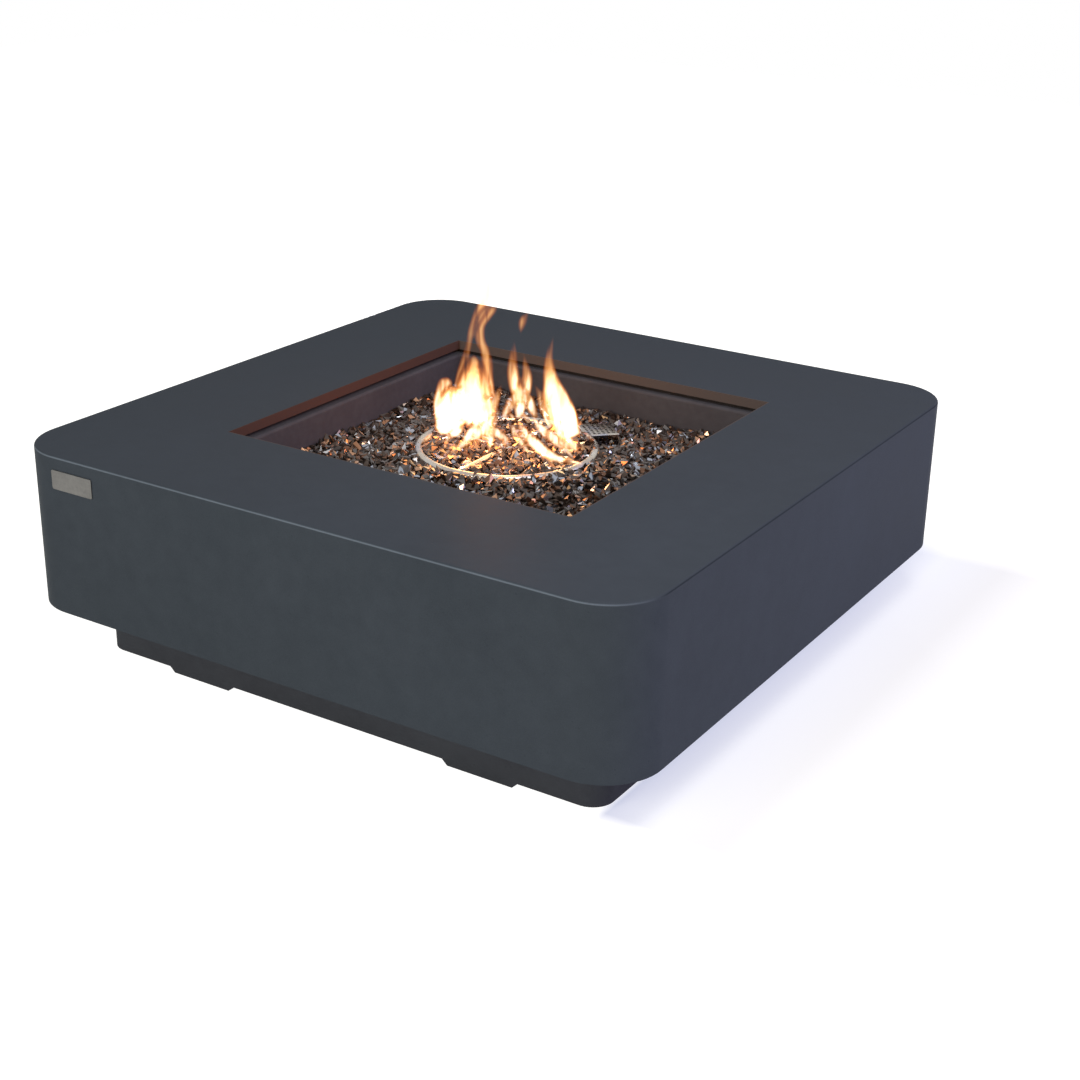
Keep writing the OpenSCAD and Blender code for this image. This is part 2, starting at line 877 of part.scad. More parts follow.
module air_mixer() {
    color(BRASS)
        difference() {
            union() {
                post(mixer_r, mixer_under, mixer_top);
                post(mixer_lip_r, mixer_under, mixer_under + mixer_lip_t);
            }
            post(nipple_bore_r, mixer_under + mixer_floor_t, mixer_top - socket_l);
            post(nipple_r + fixed_gap, mixer_top - socket_l, mixer_top + over);
            post(jet_seat_r + fixed_gap, mixer_under - over, mixer_under + mixer_floor_t + over);
            air_windows(mixer_r);
        }
}

module air_shutter() {
    low = mixer_under + mixer_lip_t + end_gap;
    high = window_z + window_h + shutter_rise;
    color(STEEL)
        difference() {
            post(shutter_r + shutter_t, low, high);
            post(shutter_r, low - over, high + over);
            air_windows(shutter_r + shutter_t);
        }
}

module gas_orifice() {
    color(BRASS)
        difference() {
            union() {
                post(jet_seat_r, mixer_under - orifice_h, mixer_under + jet_seat_l);
                post(hex_r(jet_af), mixer_under - orifice_h, mixer_under, 6);
            }
            post(jet_r, mixer_under - orifice_h - over, mixer_under + jet_seat_l + over);
            post(elbow_way_r, mixer_under - orifice_h - over, mixer_under);
        }
}

// Gas train from the valve to the burner

module elbow_fitting() {
    color(BRASS)
        difference() {
            union() {
                post(elbow_r, control_z - elbow_r, mixer_under - orifice_h);
                rod_y(knob_at, elbow_arm_r, 0, tube_front);
            }
            post(elbow_way_r, control_z, mixer_under - orifice_h + over);
            rod_y(knob_at, elbow_way_r, 0, tube_front);
            rod_y(knob_at, tube_r + fixed_gap, tube_front - tube_socket_l, tube_front + over);
        }
}

module gas_tube() {
    near = tube_front - tube_socket_l;
    far = outlet_y + tube_socket_l;
    color(COPPER)
        difference() {
            rod_y(knob_at, tube_r, near, far);
            rod_y(knob_at, tube_r - tube_t, near - over, far + over);
        }
}

module tube_nuts() {
    color(BRASS)
        for (near = [tube_front, outlet_y - tube_nut_l])
            difference() {
                rod_y(knob_at, hex_r(tube_nut_af), near, near + tube_nut_l, 6);
                rod_y(knob_at, tube_r + fixed_gap, near - over, near + tube_nut_l + over);
            }
}

module gas_valve() {
    color(BRASS)
        difference() {
            union() {
                block_y(knob_at, valve_w, valve_h, valve_rear, plate_in);
                rod_y(knob_at, bush_r, plate_in, bush_out);
                rod_y(knob_at, outlet_r, outlet_y, valve_rear);
                translate([0, valve_y, 0])
                    post(inlet_boss_r, inlet_top, control_z - valve_h / 2);
                translate([valve_w / 2, valve_y, control_z])
                    rotate([0, 90, 0])
                        cylinder(r = sensor_boss_r, h = sensor_boss_l);
            }
            rod_y(knob_at, chamber_r, plug_rear - end_gap, plate_in - valve_front_t);
            rod_y(knob_at, plunger_r + running_gap, plate_in - valve_front_t - over, bush_out + over);
            rod_y(knob_at, gas_way_r, outlet_y, plug_rear);
            rod_y(knob_at, tube_r + fixed_gap, outlet_y - over, outlet_y + tube_socket_l);
            translate([0, valve_y, 0])
                post(gas_way_r, inlet_top - over, control_z);
        }
}

module valve_plug() {
    color(BRASS)
        difference() {
            rod_y(knob_at, plug_r, plug_rear, plug_front);
            block_y(knob_at, tang_t + 2 * tang_gap, 4 * stem_r, plug_front - slot_depth, plug_front + over);
            rod_y(knob_at, plug_way_r, plug_rear - over, plug_front - slot_depth - plug_web);
            translate([0, valve_y - plug_way_back, 0])
                post(plug_way_r, control_z - plug_r - over, control_z);
        }
}

module plunger_spring() {
    near = plug_front + spring_seat_gap + wire_r;
    far = plunger_in - spring_seat_gap - wire_r;
    path = coil(knob_at, stem_r + coil_gap, near, far, spring_curls);
    echo(plunger_spring_gap = (far - near) / spring_curls - 2 * wire_r);
    color(STEEL)
        swept_tube(path, wire_r, wire_sides, [0, 1, 0]);
}

module safety_plunger() {
    color(STEEL)
        difference() {
            rod_y(knob_at, plunger_r, plunger_in, plunger_out);
            rod_y(knob_at, stem_r + running_gap, plunger_in - over, plunger_out + over);
        }
}

module valve_stem() {
    color(STEEL) {
        rod_y(knob_at, stem_r, stem_shoulder, knob_face);
        rod_y(knob_at, collar_r, plunger_out + end_gap, plunger_out + end_gap + collar_t);
        intersection() {
            rod_y(knob_at, stem_r, plug_front - tang_grip, stem_shoulder);
            block_y(knob_at, tang_t, 2 * stem_r, plug_front - tang_grip - over, stem_shoulder);
        }
    }
}

module control_knob() {
    color(BLACK)
        difference() {
            union() {
                rod_y(knob_at, knob_r, knob_back, knob_face);
                intersection() {
                    rod_y(knob_at, knob_r - knob_rim, knob_face, knob_out);
                    block_y(knob_at, knob_grip_w, 2 * knob_r, knob_face, knob_out);
                }
            }
            rod_y(knob_at, stem_r + fixed_gap, knob_back - over, knob_face);
            pointer_block(over);
        }
}

// The pale pointer let into the knob's grip
module pointer_block(proud) {
    foot = knob_at[1] + knob_r - pointer_in - pointer_l;
    translate([knob_at[0] - pointer_w / 2, knob_out - pointer_t, foot])
        cube([pointer_w, pointer_t + proud, pointer_l]);
}

module knob_pointer() {
    color(WHITE)
        pointer_block(0);
}

module panel_nut() {
    color(BRASS)
        difference() {
            rod_y(knob_at, hex_r(panel_nut_af), plate_out, plate_out + panel_nut_t, 6);
            rod_y(knob_at, bush_r + fixed_gap, plate_out - over, plate_out + panel_nut_t + over);
        }
}

module gas_inlet() {
    hex_under = inlet_top - inlet_hex_h;
    color(BRASS)
        translate([0, valve_y, 0])
            difference() {
                union() {
                    post(hex_r(inlet_hex_af), hex_under, inlet_top, 6);
                    post(inlet_r, hex_under - inlet_l, hex_under);
                    post(gas_way_r - fixed_gap, inlet_top, inlet_top + inlet_spigot_l);
                }
                post(inlet_way_r, hex_under - inlet_l - over, inlet_top + inlet_spigot_l + over);
            }
}

// Niche in the back wall

function niche_flange_w() = niche_w + 2 * niche_t + 2 * niche_flange;
function niche_flange_h() = niche_h + 2 * niche_t + 2 * niche_flange;

// Copies at the four screws of the niche's flange
module niche_screw_places() {
    for (sx = [-1, 1], sz = [-1, 1])
        translate([niche_at[0] + sx * (niche_flange_w() - niche_flange) / 2, 0,
            niche_at[1] + sz * (niche_flange_h() - niche_flange) / 2])
            children();
}

module control_niche() {
    color(STEEL)
        difference() {
            union() {
                block_y(niche_at, niche_flange_w(), niche_flange_h(), back_y - niche_t, back_y);
                block_y(niche_at, niche_w + 2 * niche_t, niche_h + 2 * niche_t, plate_in, back_y);
            }
            block_y(niche_at, niche_w, niche_h, plate_out, back_y + over);
            rod_y(knob_at, bush_r + screw_gap, plate_in - over, plate_out + over);
            rod_y(button_at, barrel_r + screw_gap, plate_in - over, plate_out + over);
            niche_screw_places()
                rod_y([0, 0], niche_screw_r + screw_gap, back_y - niche_t - over, back_y + over);
        }
}

module niche_screws() {
    color(STEEL)
        niche_screw_places() {
            rod_y([0, 0], niche_screw_r, back_y - niche_screw_l, back_y);
            difference() {
                rod_y([0, 0], niche_screw_head_r, back_y, back_y + niche_screw_head_t);
                rod_y([0, 0], hex_r(niche_screw_key_af), back_y + niche_screw_head_t / 2,
                    back_y + niche_screw_head_t + over, 6);
            }
        }
}

// Spark igniter

module igniter_module() {
    color(BLACK)
        difference() {
            union() {
                rod_y(button_at, bezel_r, plate_out, module_out);
                rod_y(button_at, barrel_r, module_rear, plate_out);
                rod_y(button_at, tail_r, tail_y, module_rear);
            }
            rod_y(button_at, button_r + running_gap, battery_rear, module_out + over);
        }
}

module igniter_nut() {
    color(BLACK)
        difference() {
            rod_y(button_at, hex_r(2 * (barrel_r + igniter_nut_rim)), plate_in - igniter_nut_t, plate_in, 6);
            rod_y(button_at, barrel_r + fixed_gap, plate_in - igniter_nut_t - over, plate_in + over);
        }
}

module igniter_battery() {
    cap_rear = battery_front - battery_cap_l;
    color(COPPER) {
        rod_y(button_at, battery_r, battery_rear, cap_rear);
        rod_y(button_at, battery_cap_r, cap_rear, battery_front);
    }
}

module button_spring() {
    near = battery_front + spring_seat_gap + wire_r;
    far = button_in - spring_seat_gap - wire_r;
    path = coil(button_at, button_r - coil_inset, near, far, spring_curls);
    echo(button_spring_gap = (far - near) / spring_curls - 2 * wire_r);
    color(STEEL)
        swept_tube(path, wire_r, wire_sides, [0, 1, 0]);
}

module igniter_button() {
    outer = module_out + button_proud;
    color(BLACK)
        difference() {
            rod_y(button_at, button_r, button_in, outer);
            translate([button_at[0], outer + button_dish_r - button_dish, button_at[1]])
                sphere(button_dish_r);
        }
}

module ignition_lead() {
    color(BLACK)
        swept_tube(smooth(ignition_route, lead_steps), ignition_lead_r, lead_sides, [1, 0, 0]);
}

module electrode_ceramic() {
    color(WHITE)
        translate(electrode_at)
            difference() {
                union() {
                    post(ceramic_r, probe_under, floor_z + ceramic_h);
                    post(probe_flange_r, floor_z, floor_z + probe_flange_t);
                }
                post(rod_r + fixed_gap, floor_z, floor_z + ceramic_h + over);
            }
}

module electrode_rod() {
    color(STEEL)
        translate(electrode_at)
            post(rod_r, floor_z, floor_z + rod_h);
}

module electrode_nut() {
    color(STEEL)
        translate(electrode_at)
            difference() {
                post(hex_r(2 * (ceramic_r + probe_nut_rim)), floor_under - probe_nut_t, floor_under, 6);
                post(ceramic_r + fixed_gap, floor_under - probe_nut_t - over, floor_under + over);
            }
}

module thermocouple() {
    color(COPPER)
        translate(thermocouple_at) {
            post(thermocouple_r, probe_under, floor_z + thermocouple_h);
            translate([0, 0, floor_z + thermocouple_h])
                intersection() {
                    sphere(thermocouple_r);
                    post(thermocouple_r + over, 0, thermocouple_r + over);
                }
        }
}

module thermocouple_nuts() {
    color(BRASS)
        translate(thermocouple_at)
            for (low = [floor_z, floor_under - probe_nut_t])
                difference() {
                    post(hex_r(2 * (thermocouple_r + probe_nut_rim)), low, low + probe_nut_t, 6);
                    post(thermocouple_r + fixed_gap, low - over, low + probe_nut_t + over);
                }
}

module thermocouple_lead() {
    color(COPPER)
        swept_tube(smooth(sensor_route, lead_steps), thermocouple_lead_r, lead_sides, [0, 0.3, 1]);
}

// Copies at the hood's two screws, on tabs turned in under it
module hood_screw_places() {
    for (s = [-1, 1])
        translate([hood_at[0], hood_at[1], 0])
            rotate(hood_turn)
                translate([0, s * (hood_w / 2 - tab_l / 2 - hood_t), 0])
                    children();
}

module igniter_hood() {
    pitch = (hood_w - 2 * hood_hole_edge) / hood_holes;
    first = -(hood_holes - 1) * pitch / 2;
    side_hole_z = hood_h - hood_side_hole_in;
    tab_z = hood_t - (hood_h - hood_t) / 2 - over;
    color(STEEL)
        difference() {
            translate([hood_at[0], hood_at[1], floor_z])
                rotate(hood_turn)
                    difference() {
                        translate([0, 0, hood_h / 2])
                            cube([hood_w, hood_w, hood_h], center = true);
                        translate([0, 0, (hood_h - hood_t) / 2 - over])
                            difference() {
                                cube([hood_w - 2 * hood_t, hood_w - 2 * hood_t, hood_h - hood_t + 2 * over],
                                    center = true);
                                for (s = [-1, 1])
                                    translate([0, s * (hood_w - tab_l) / 2, tab_z])
                                        cube([tab_w, tab_l, 4 * hood_t], center = true);
                            }
                        for (i = [0 : hood_holes - 1], j = [0 : hood_holes - 1])
                            translate([first + i * pitch, first + j * pitch, 0])
                                post(hood_hole_r, hood_h - hood_t - over, hood_h + over);
                        for (i = [0 : hood_holes - 1], turn = [0, 90])
                            rotate(turn)
                                translate([first + i * pitch, 0, side_hole_z])
                                    rotate([90, 0, 0])
                                        cylinder(r = hood_side_hole_r, h = hood_w + 2 * over, center = true);
                    }
            hood_screw_places()
                post(hood_screw_r + screw_gap, floor_z - over, floor_z + 4 * hood_t);
        }
}

module hood_screws() {
    color(STEEL)
        hood_screw_places() {
            post(hood_screw_r, floor_under - hood_screw_end, floor_z + hood_t);
            post(hood_screw_head_r, floor_z + hood_t, floor_z + hood_t + hood_screw_head_t);
        }
}

// Bare plate on the front

module badge_plate() {
    left = -table_w / 2 + corner_r + badge_in;
    color(STEEL)
        translate([left, -table_w / 2, table_h - badge_drop - badge_h])
            rotate([90, 0, 0])
                linear_extrude(badge_t) {
                    translate([badge_r, 0])
                        square([badge_w - 2 * badge_r, badge_h]);
                    translate([0, badge_r])
                        square([badge_w, badge_h - 2 * badge_r]);
                    for (x = [badge_r, badge_w - badge_r], z = [badge_r, badge_h - badge_r])
                        translate([x, z])
                            circle(badge_r);
                }
}

concrete_shell();
base_plinth();
base_washers();
base_bolts();
burner_pan();
pan_gasket();
pan_studs();
pan_washers();
pan_nuts();
glass_bed();
burner_ring();
inlet_nipple();
burner_locknuts();
air_mixer();
air_shutter();
gas_orifice();
elbow_fitting();
gas_tube();
tube_nuts();
gas_valve();
valve_plug();
plunger_spring();
safety_plunger();
valve_stem();
control_knob();
knob_pointer();
panel_nut();
gas_inlet();
control_niche();
niche_screws();
igniter_module();
igniter_nut();
igniter_battery();
button_spring();
igniter_button();
ignition_lead();
electrode_ceramic();
electrode_rod();
electrode_nut();
thermocouple();
thermocouple_nuts();
thermocouple_lead();
igniter_hood();
hood_screws();
badge_plate();
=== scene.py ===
"""Looks of a square gas fire pit table: cast concrete, a bed of fire glass, the burner and its controls."""

import logging
import math
import random
from dataclasses import dataclass
from enum import Enum
from typing import Any, Callable, ClassVar, Sequence

import bmesh
import bpy
from mathutils import Matrix, Vector


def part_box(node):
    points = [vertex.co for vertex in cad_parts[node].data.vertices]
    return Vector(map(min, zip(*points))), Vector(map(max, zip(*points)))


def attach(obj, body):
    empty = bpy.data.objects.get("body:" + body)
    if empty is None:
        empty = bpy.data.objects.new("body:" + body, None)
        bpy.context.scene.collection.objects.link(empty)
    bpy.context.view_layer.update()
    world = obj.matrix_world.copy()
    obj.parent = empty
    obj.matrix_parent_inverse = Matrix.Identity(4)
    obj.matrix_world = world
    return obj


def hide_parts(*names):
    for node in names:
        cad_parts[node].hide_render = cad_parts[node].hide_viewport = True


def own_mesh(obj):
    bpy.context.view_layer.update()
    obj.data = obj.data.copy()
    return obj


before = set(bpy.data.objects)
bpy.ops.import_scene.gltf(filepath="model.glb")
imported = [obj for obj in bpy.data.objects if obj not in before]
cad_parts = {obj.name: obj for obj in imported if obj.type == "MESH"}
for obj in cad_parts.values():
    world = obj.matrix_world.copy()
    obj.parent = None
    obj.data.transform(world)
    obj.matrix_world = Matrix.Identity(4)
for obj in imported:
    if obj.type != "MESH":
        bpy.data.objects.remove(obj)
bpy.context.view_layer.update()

LOG = logging.getLogger("fire_pit_table")
MM = 0.001

Colour = tuple[float, float, float]
Point = tuple[float, float, float]
Span = tuple[float, float]
Stops = tuple[tuple[float, Colour], ...]
Path = list[tuple[Vector, float]]
WHITE: Colour = (1.0, 1.0, 1.0)
BLACK: Colour = (0.0, 0.0, 0.0)


class Body(str, Enum):
    """The bodies that pieces ride on."""

    TABLE = "table"
    KNOB = "knob"
    BUTTON = "button"


class Grain(Enum):
    """Directions in which a metal was brushed, as stretches of its streaks along X, Y and Z."""

    ALONG_X = (6.0, 420.0, 420.0)
    ALONG_Y = (420.0, 6.0, 420.0)
    ALONG_Z = (420.0, 420.0, 6.0)
    CAST = (160.0, 160.0, 160.0)


class Socket(Enum):
    """Kinds of sockets of the node groups."""

    VALUE = "NodeSocketFloat"
    COUNT = "NodeSocketInt"
    COLOUR = "NodeSocketColor"
    VECTOR = "NodeSocketVector"
    SHAPE = "NodeSocketGeometry"
    MATERIAL = "NodeSocketMaterial"


class Draw(Enum):
    """Random draws of the strewn glass, as offsets to its seed."""

    LENGTH = 1
    WIDTH = 2
    THICKNESS = 3
    TURN = 4
    KIND = 5
    TONE = 6
    FACET = 7
    SIZE = 8
    CORNERS = 100


def rgba(colour: Colour) -> tuple[float, float, float, float]:
    """Adds full opacity to a colour."""
    return (*colour, 1.0)


def shaded(colour: Colour, factor: float) -> Colour:
    """Multiplies a colour by a factor."""
    return tuple(min(1.0, c * factor) for c in colour)


def clamped(value: float, low: float = 0.0, high: float = 1.0) -> float:
    """Keeps a value between two ends."""
    return max(low, min(high, value))


class Wiring:
    """Adds and links the nodes of one node tree."""

    def __init__(self, tree: bpy.types.NodeTree) -> None:
        """Keeps the tree that the nodes go into."""
        self.tree = tree

    def sockets(self, inputs: dict[str, tuple[Socket, Any]], outputs: dict[str, Socket]) -> Any:
        """Gives a node group its sockets.

        Args:
            inputs: Each input's kind, and its first value or None.
            outputs: Each output's kind.

        Returns:
            The sockets that bring the inputs in, by name.
        """
        for label, (kind, value) in inputs.items():
            socket = self.tree.interface.new_socket(label, in_out="INPUT", socket_type=kind.value)
            if value is not None:
                socket.default_value = value
        for label, kind in outputs.items():
            self.tree.interface.new_socket(label, in_out="OUTPUT", socket_type=kind.value)
        return self.add("NodeGroupInput").outputs

    def feed(self, socket: bpy.types.NodeSocket, value: Any) -> None:
        """Links an input, or sets it.

        Args:
            socket: The input.
            value: The socket to link from, or the value to set.
        """
        if isinstance(value, bpy.types.NodeSocket):
            self.tree.links.new(value, socket)
        else:
            socket.default_value = value

    def add(self, kind: str, inputs: dict[Any, Any] | None = None, **settings: Any) -> bpy.types.Node:
        """Adds a node with its settings, and sets or links its inputs.

        Args:
            kind: Blender's name of the node's type.
            inputs: Socket names or numbers, with values or sockets to link from.
            **settings: Properties of the node.

        Returns:
            The new node.
        """
        node = self.tree.nodes.new(kind)
        for name, value in settings.items():
            setattr(node, name, value)
        for key, value in (inputs or {}).items():
            self.feed(node.inputs[key], value)
        return node

    def maths(self, operation: str, *values: Any) -> bpy.types.NodeSocket:
        """Adds a Math node for numbers or sockets, and gives its result."""
        return self.add("ShaderNodeMath", dict(enumerate(values)), operation=operation).outputs[0]

    def stretched(self, vector: Any, stretch: Any) -> bpy.types.NodeSocket:
        """Multiplies a vector along X, Y and Z."""
        return self.add("ShaderNodeVectorMath", {0: vector, 1: stretch}, operation="MULTIPLY").outputs[0]

    def scaled(self, vector: Any, factor: Any) -> bpy.types.NodeSocket:
        """Multiplies a vector or a colour by a number."""
        return self.add("ShaderNodeVectorMath", {0: vector, "Scale": factor}, operation="SCALE").outputs[0]

    def place(self) -> bpy.types.NodeSocket:
        """Gives the place on a piece, in its own coordinates."""
        return self.add("ShaderNodeTexCoord").outputs["Object"]

    def axes(self, vector: bpy.types.NodeSocket) -> Any:
        """Gives a vector's parts, by the names X, Y and Z."""
        return self.add("ShaderNodeSeparateXYZ", {0: vector}).outputs

    def noise(self, vector: Any, scale: Any, **inputs: Any) -> bpy.types.NodeSocket:
        """Adds a noise of a scale, with other inputs by name, and gives its value."""
        return self.add("ShaderNodeTexNoise", {"Vector": vector, "Scale": scale, **inputs}).outputs["Fac"]

    def remap(self, value: Any, low: float, high: float, to_low: float = 0.0,
              to_high: float = 1.0) -> bpy.types.NodeSocket:
        """Maps a range of a value to another range, clamped.

        Args:
            value: The socket to map.
            low: Start of the range.
            high: End of the range.
            to_low: What the start becomes.
            to_high: What the end becomes.

        Returns:
            The mapped value's socket.
        """
        node = self.add("ShaderNodeMapRange", {0: value, 1: low, 2: high, 3: to_low, 4: to_high})
        return node.outputs[0]

    def ramp(self, value: Any, stops: Stops, fade: str = "LINEAR") -> bpy.types.NodeSocket:
        """Turns a value into a colour through a ramp.

        Args:
            value: The socket to turn into a colour.
            stops: Positions from low to high, with their colours.
            fade: Way of going from stop to stop.

        Returns:
            The colour's socket.
        """
        node = self.add("ShaderNodeValToRGB", {"Fac": value})
        node.color_ramp.interpolation = fade
        marks = node.color_ramp.elements
        for mark, (position, colour) in zip(list(marks), (stops[0], stops[-1])):
            mark.position, mark.color = position, rgba(colour)
        for position, colour in stops[1:-1]:
            marks.new(position).color = rgba(colour)
        return node.outputs["Color"]

    def blend(self, factor: Any, first: Any, second: Any) -> bpy.types.NodeSocket:
        """Mixes two colours.

        Args:
            factor: Share of the second colour.
            first: Colour or socket at a factor of 0.
            second: Colour or socket at a factor of 1.

        Returns:
            The mixed colour's socket.
        """
        node = self.add("ShaderNodeMix", data_type="RGBA")
        inputs = {socket.identifier: socket for socket in node.inputs}
        self.feed(inputs["Factor_Float"], factor)
        for key, colour in (("A_Color", first), ("B_Color", second)):
            self.feed(inputs[key], rgba(colour) if isinstance(colour, tuple) else colour)
        return next(s for s in node.outputs if s.identifier == "Result_Color")

    def bump(self, height: Any, depth: float, strength: float) -> bpy.types.NodeSocket:
        """Turns a height into a normal."""
        inputs = {"Height": height, "Distance": depth, "Strength": strength}
        return self.add("ShaderNodeBump", inputs).outputs[0]

    def surface(self, inputs: dict[str, Any]) -> bpy.types.NodeSocket:
        """Adds a surface's shader with its inputs, by name."""
        return self.add("ShaderNodeBsdfPrincipled", inputs).outputs[0]

    def seen(self) -> bpy.types.NodeSocket:
        """Gives 1 for rays that show a background, straight or in metal and glass, and 0 for light."""
        rays = self.add("ShaderNodeLightPath").outputs
        mirrored = self.maths("MAXIMUM", rays["Is Glossy Ray"], rays["Is Transmission Ray"])
        return self.maths("MAXIMUM", rays["Is Camera Ray"], mirrored)


class Effect:
    """A surface effect that several finishes share, as a shader node group that is built once."""

    TITLE: ClassVar[str]
    INPUTS: ClassVar[dict[str, tuple[Socket, Any]]]
    OUTPUTS: ClassVar[dict[str, Socket]]
    made: ClassVar[dict[str, bpy.types.NodeTree]] = {}

    @classmethod
    def on(cls, wiring: Wiring, **inputs: Any) -> Any:
        """Places the effect in a material.

        Args:
            wiring: The material's node tree.
            **inputs: The effect's inputs, by name.

        Returns:
            The effect's outputs, by name.
        """
        if cls.TITLE not in cls.made:
            group = Wiring(bpy.data.node_groups.new(cls.TITLE, "ShaderNodeTree"))
            given = group.sockets(cls.INPUTS, cls.OUTPUTS)
            group.add("NodeGroupOutput", cls.wire(group, given))
            cls.made[cls.TITLE] = group.tree
        return wiring.add("ShaderNodeGroup", inputs, node_tree=cls.made[cls.TITLE]).outputs

    @classmethod
    def wire(cls, wiring: Wiring, given: Any) -> dict[str, bpy.types.NodeSocket]:
        """Adds the group's nodes.

        Args:
            wiring: The group's node tree.
            given: The group's inputs, by name.

        Returns:
            The socket for each output, by name.
        """
        raise NotImplementedError


class Mottle(Effect):
    """Soft clouds between two colours, and their mask."""

    TITLE = "mottle"
    INPUTS = {"Scale": (Socket.VALUE, 5.0), "Dark": (Socket.COLOUR, rgba(BLACK)),
              "Light": (Socket.COLOUR, rgba(WHITE))}
    OUTPUTS = {"Colour": Socket.COLOUR, "Mask": Socket.VALUE}
    FINER: ClassVar[float] = 9.0
    FINE_SHARE: ClassVar[float] = 0.35
    EDGES: ClassVar[Span] = (0.36, 0.64)

    @classmethod
    def wire(cls, wiring: Wiring, given: Any) -> dict[str, bpy.types.NodeSocket]:
        """Wires large clouds and a finer cloud into one mask.

        Args:
            wiring: The group's node tree.
            given: The group's inputs, by name.

        Returns:
            The socket for each output, by name.
        """
        place = wiring.place()
        large = wiring.noise(place, given["Scale"], Detail=4.0, Roughness=0.62)
        small = wiring.noise(place, wiring.maths("MULTIPLY", given["Scale"], cls.FINER), Detail=3.0)
        most = wiring.maths("MULTIPLY", large, 1.0 - cls.FINE_SHARE)
        mask = wiring.remap(wiring.maths("MULTIPLY_ADD", small, cls.FINE_SHARE, most), *cls.EDGES)
        return {"Colour": wiring.blend(mask, given["Dark"], given["Light"]), "Mask": mask}


class Grit(Effect):
    """Fine grain and scattered pinholes, as a height."""

    TITLE = "grit"
    INPUTS = {"Scale": (Socket.VALUE, 500.0), "Rarity": (Socket.VALUE, 0.8)}
    OUTPUTS = {"Height": Socket.VALUE}
    WIDER: ClassVar[float] = 0.13
    HOLE_RIM: ClassVar[Span] = (0.1, 0.2)
    HOLE_DEPTH: ClassVar[float] = 2.0

    @classmethod
    def wire(cls, wiring: Wiring, given: Any) -> dict[str, bpy.types.NodeSocket]:
        """Wires the grain's noise, less the pinholes.

        Args:
            wiring: The group's node tree.
            given: The group's inputs, by name.

        Returns:
            The socket for each output, by name.
        """
        place = wiring.place()
        grain = wiring.noise(place, given["Scale"], Detail=3.0, Roughness=0.6)
        wide = wiring.maths("MULTIPLY", given["Scale"], cls.WIDER)
        cells = wiring.add("ShaderNodeTexVoronoi", {"Vector": place, "Scale": wide}).outputs
        lone = wiring.add("ShaderNodeSeparateColor", {"Color": cells["Color"]}).outputs[0]
        kept = wiring.maths("GREATER_THAN", lone, given["Rarity"])
        near = wiring.remap(cells["Distance"], *cls.HOLE_RIM, 1.0, 0.0)
        holes = wiring.maths("MULTIPLY", near, kept)
        height = wiring.maths("SUBTRACT", grain, wiring.maths("MULTIPLY", holes, cls.HOLE_DEPTH))
        return {"Height": height}


class Streaks(Effect):
    """Brushed or cast streaks, as a value."""

    TITLE = "streaks"
    INPUTS = {"Stretch": (Socket.VECTOR, Grain.CAST.value)}
    OUTPUTS = {"Streak": Socket.VALUE}
    EDGES: ClassVar[Span] = (0.3, 0.7)

    @classmethod
    def wire(cls, wiring: Wiring, given: Any) -> dict[str, bpy.types.NodeSocket]:
        """Wires a noise that is stretched along the brushing.

        Args:
            wiring: The group's node tree.
            given: The group's inputs, by name.

        Returns:
            The socket for each output, by name.
        """
        noise = wiring.noise(wiring.stretched(wiring.place(), given["Stretch"]), 1.0, Detail=3.0)
        return {"Streak": wiring.remap(noise, *cls.EDGES)}


class HeatTint(Effect):
    """Tints of steel that has been hot, from straw through bronze to blue."""

    TITLE = "heat tint"
    INPUTS = {"Scale": (Socket.VALUE, 20.0), "Amount": (Socket.VALUE, 0.5),
              "Steel": (Socket.COLOUR, rgba(WHITE))}
    OUTPUTS = {"Colour": Socket.COLOUR}
    TEMPER: ClassVar[Stops] = ((0.36, (0.52, 0.49, 0.45)), (0.46, (0.5, 0.4, 0.26)),
                               (0.56, (0.3, 0.17, 0.13)), (0.66, (0.16, 0.18, 0.34)))

    @classmethod
    def wire(cls, wiring: Wiring, given: Any) -> dict[str, bpy.types.NodeSocket]:
        """Wires a cloud through a ramp of temper colours.

        Args:
            wiring: The group's node tree.
            given: The group's inputs, by name.

        Returns:
            The socket for each output, by name.
        """
        temper = wiring.ramp(wiring.noise(wiring.place(), given["Scale"], Detail=3.0), cls.TEMPER)
        return {"Colour": wiring.blend(given["Amount"], given["Steel"], temper)}


class PaintedEdgeLight(Effect):
    """Painted highlight and painted shade on upper edges, as a tone that is 1 on level and upright faces: a
    painted highlight on edges that face the front, painted shade on edges that face the right.
    """

    TITLE = "painted edge light"
    INPUTS = {"Rubbed": (Socket.VALUE, 1.0), "Stained": (Socket.VALUE, 0.5)}
    OUTPUTS = {"Tone": Socket.VALUE}
    PEAK: ClassVar[float] = 4.0
    SHARPNESS: ClassVar[float] = 4.0

    @classmethod
    def wire(cls, wiring: Wiring, given: Any) -> dict[str, bpy.types.NodeSocket]:
        """Wires the slant of the surface, and the way that it faces, into a tone.

        Args:
            wiring: The group's node tree.
            given: The group's inputs, by name.

        Returns:
            The socket for each output, by name.
        """
        way = wiring.axes(wiring.add("ShaderNodeNewGeometry").outputs["Normal"])
        up = wiring.maths("MAXIMUM", way["Z"], 0.0)
        level = wiring.maths("SUBTRACT", 1.0, up)
        slant = wiring.maths("MULTIPLY", wiring.maths("MULTIPLY", up, level), cls.PEAK)
        front = wiring.maths("MAXIMUM", wiring.maths("MULTIPLY", way["Y"], -1.0), 0.0)
        right = wiring.maths("MAXIMUM", way["X"], 0.0)
        # Painted highlight on edges that face the front, painted shade on edges that face the right
        change = wiring.maths("SUBTRACT", wiring.maths("MULTIPLY", front, given["Rubbed"]),
                              wiring.maths("MULTIPLY", right, given["Stained"]))
        edge = wiring.maths("POWER", slant, cls.SHARPNESS)
        return {"Tone": wiring.maths("MULTIPLY_ADD", edge, change, 1.0)}


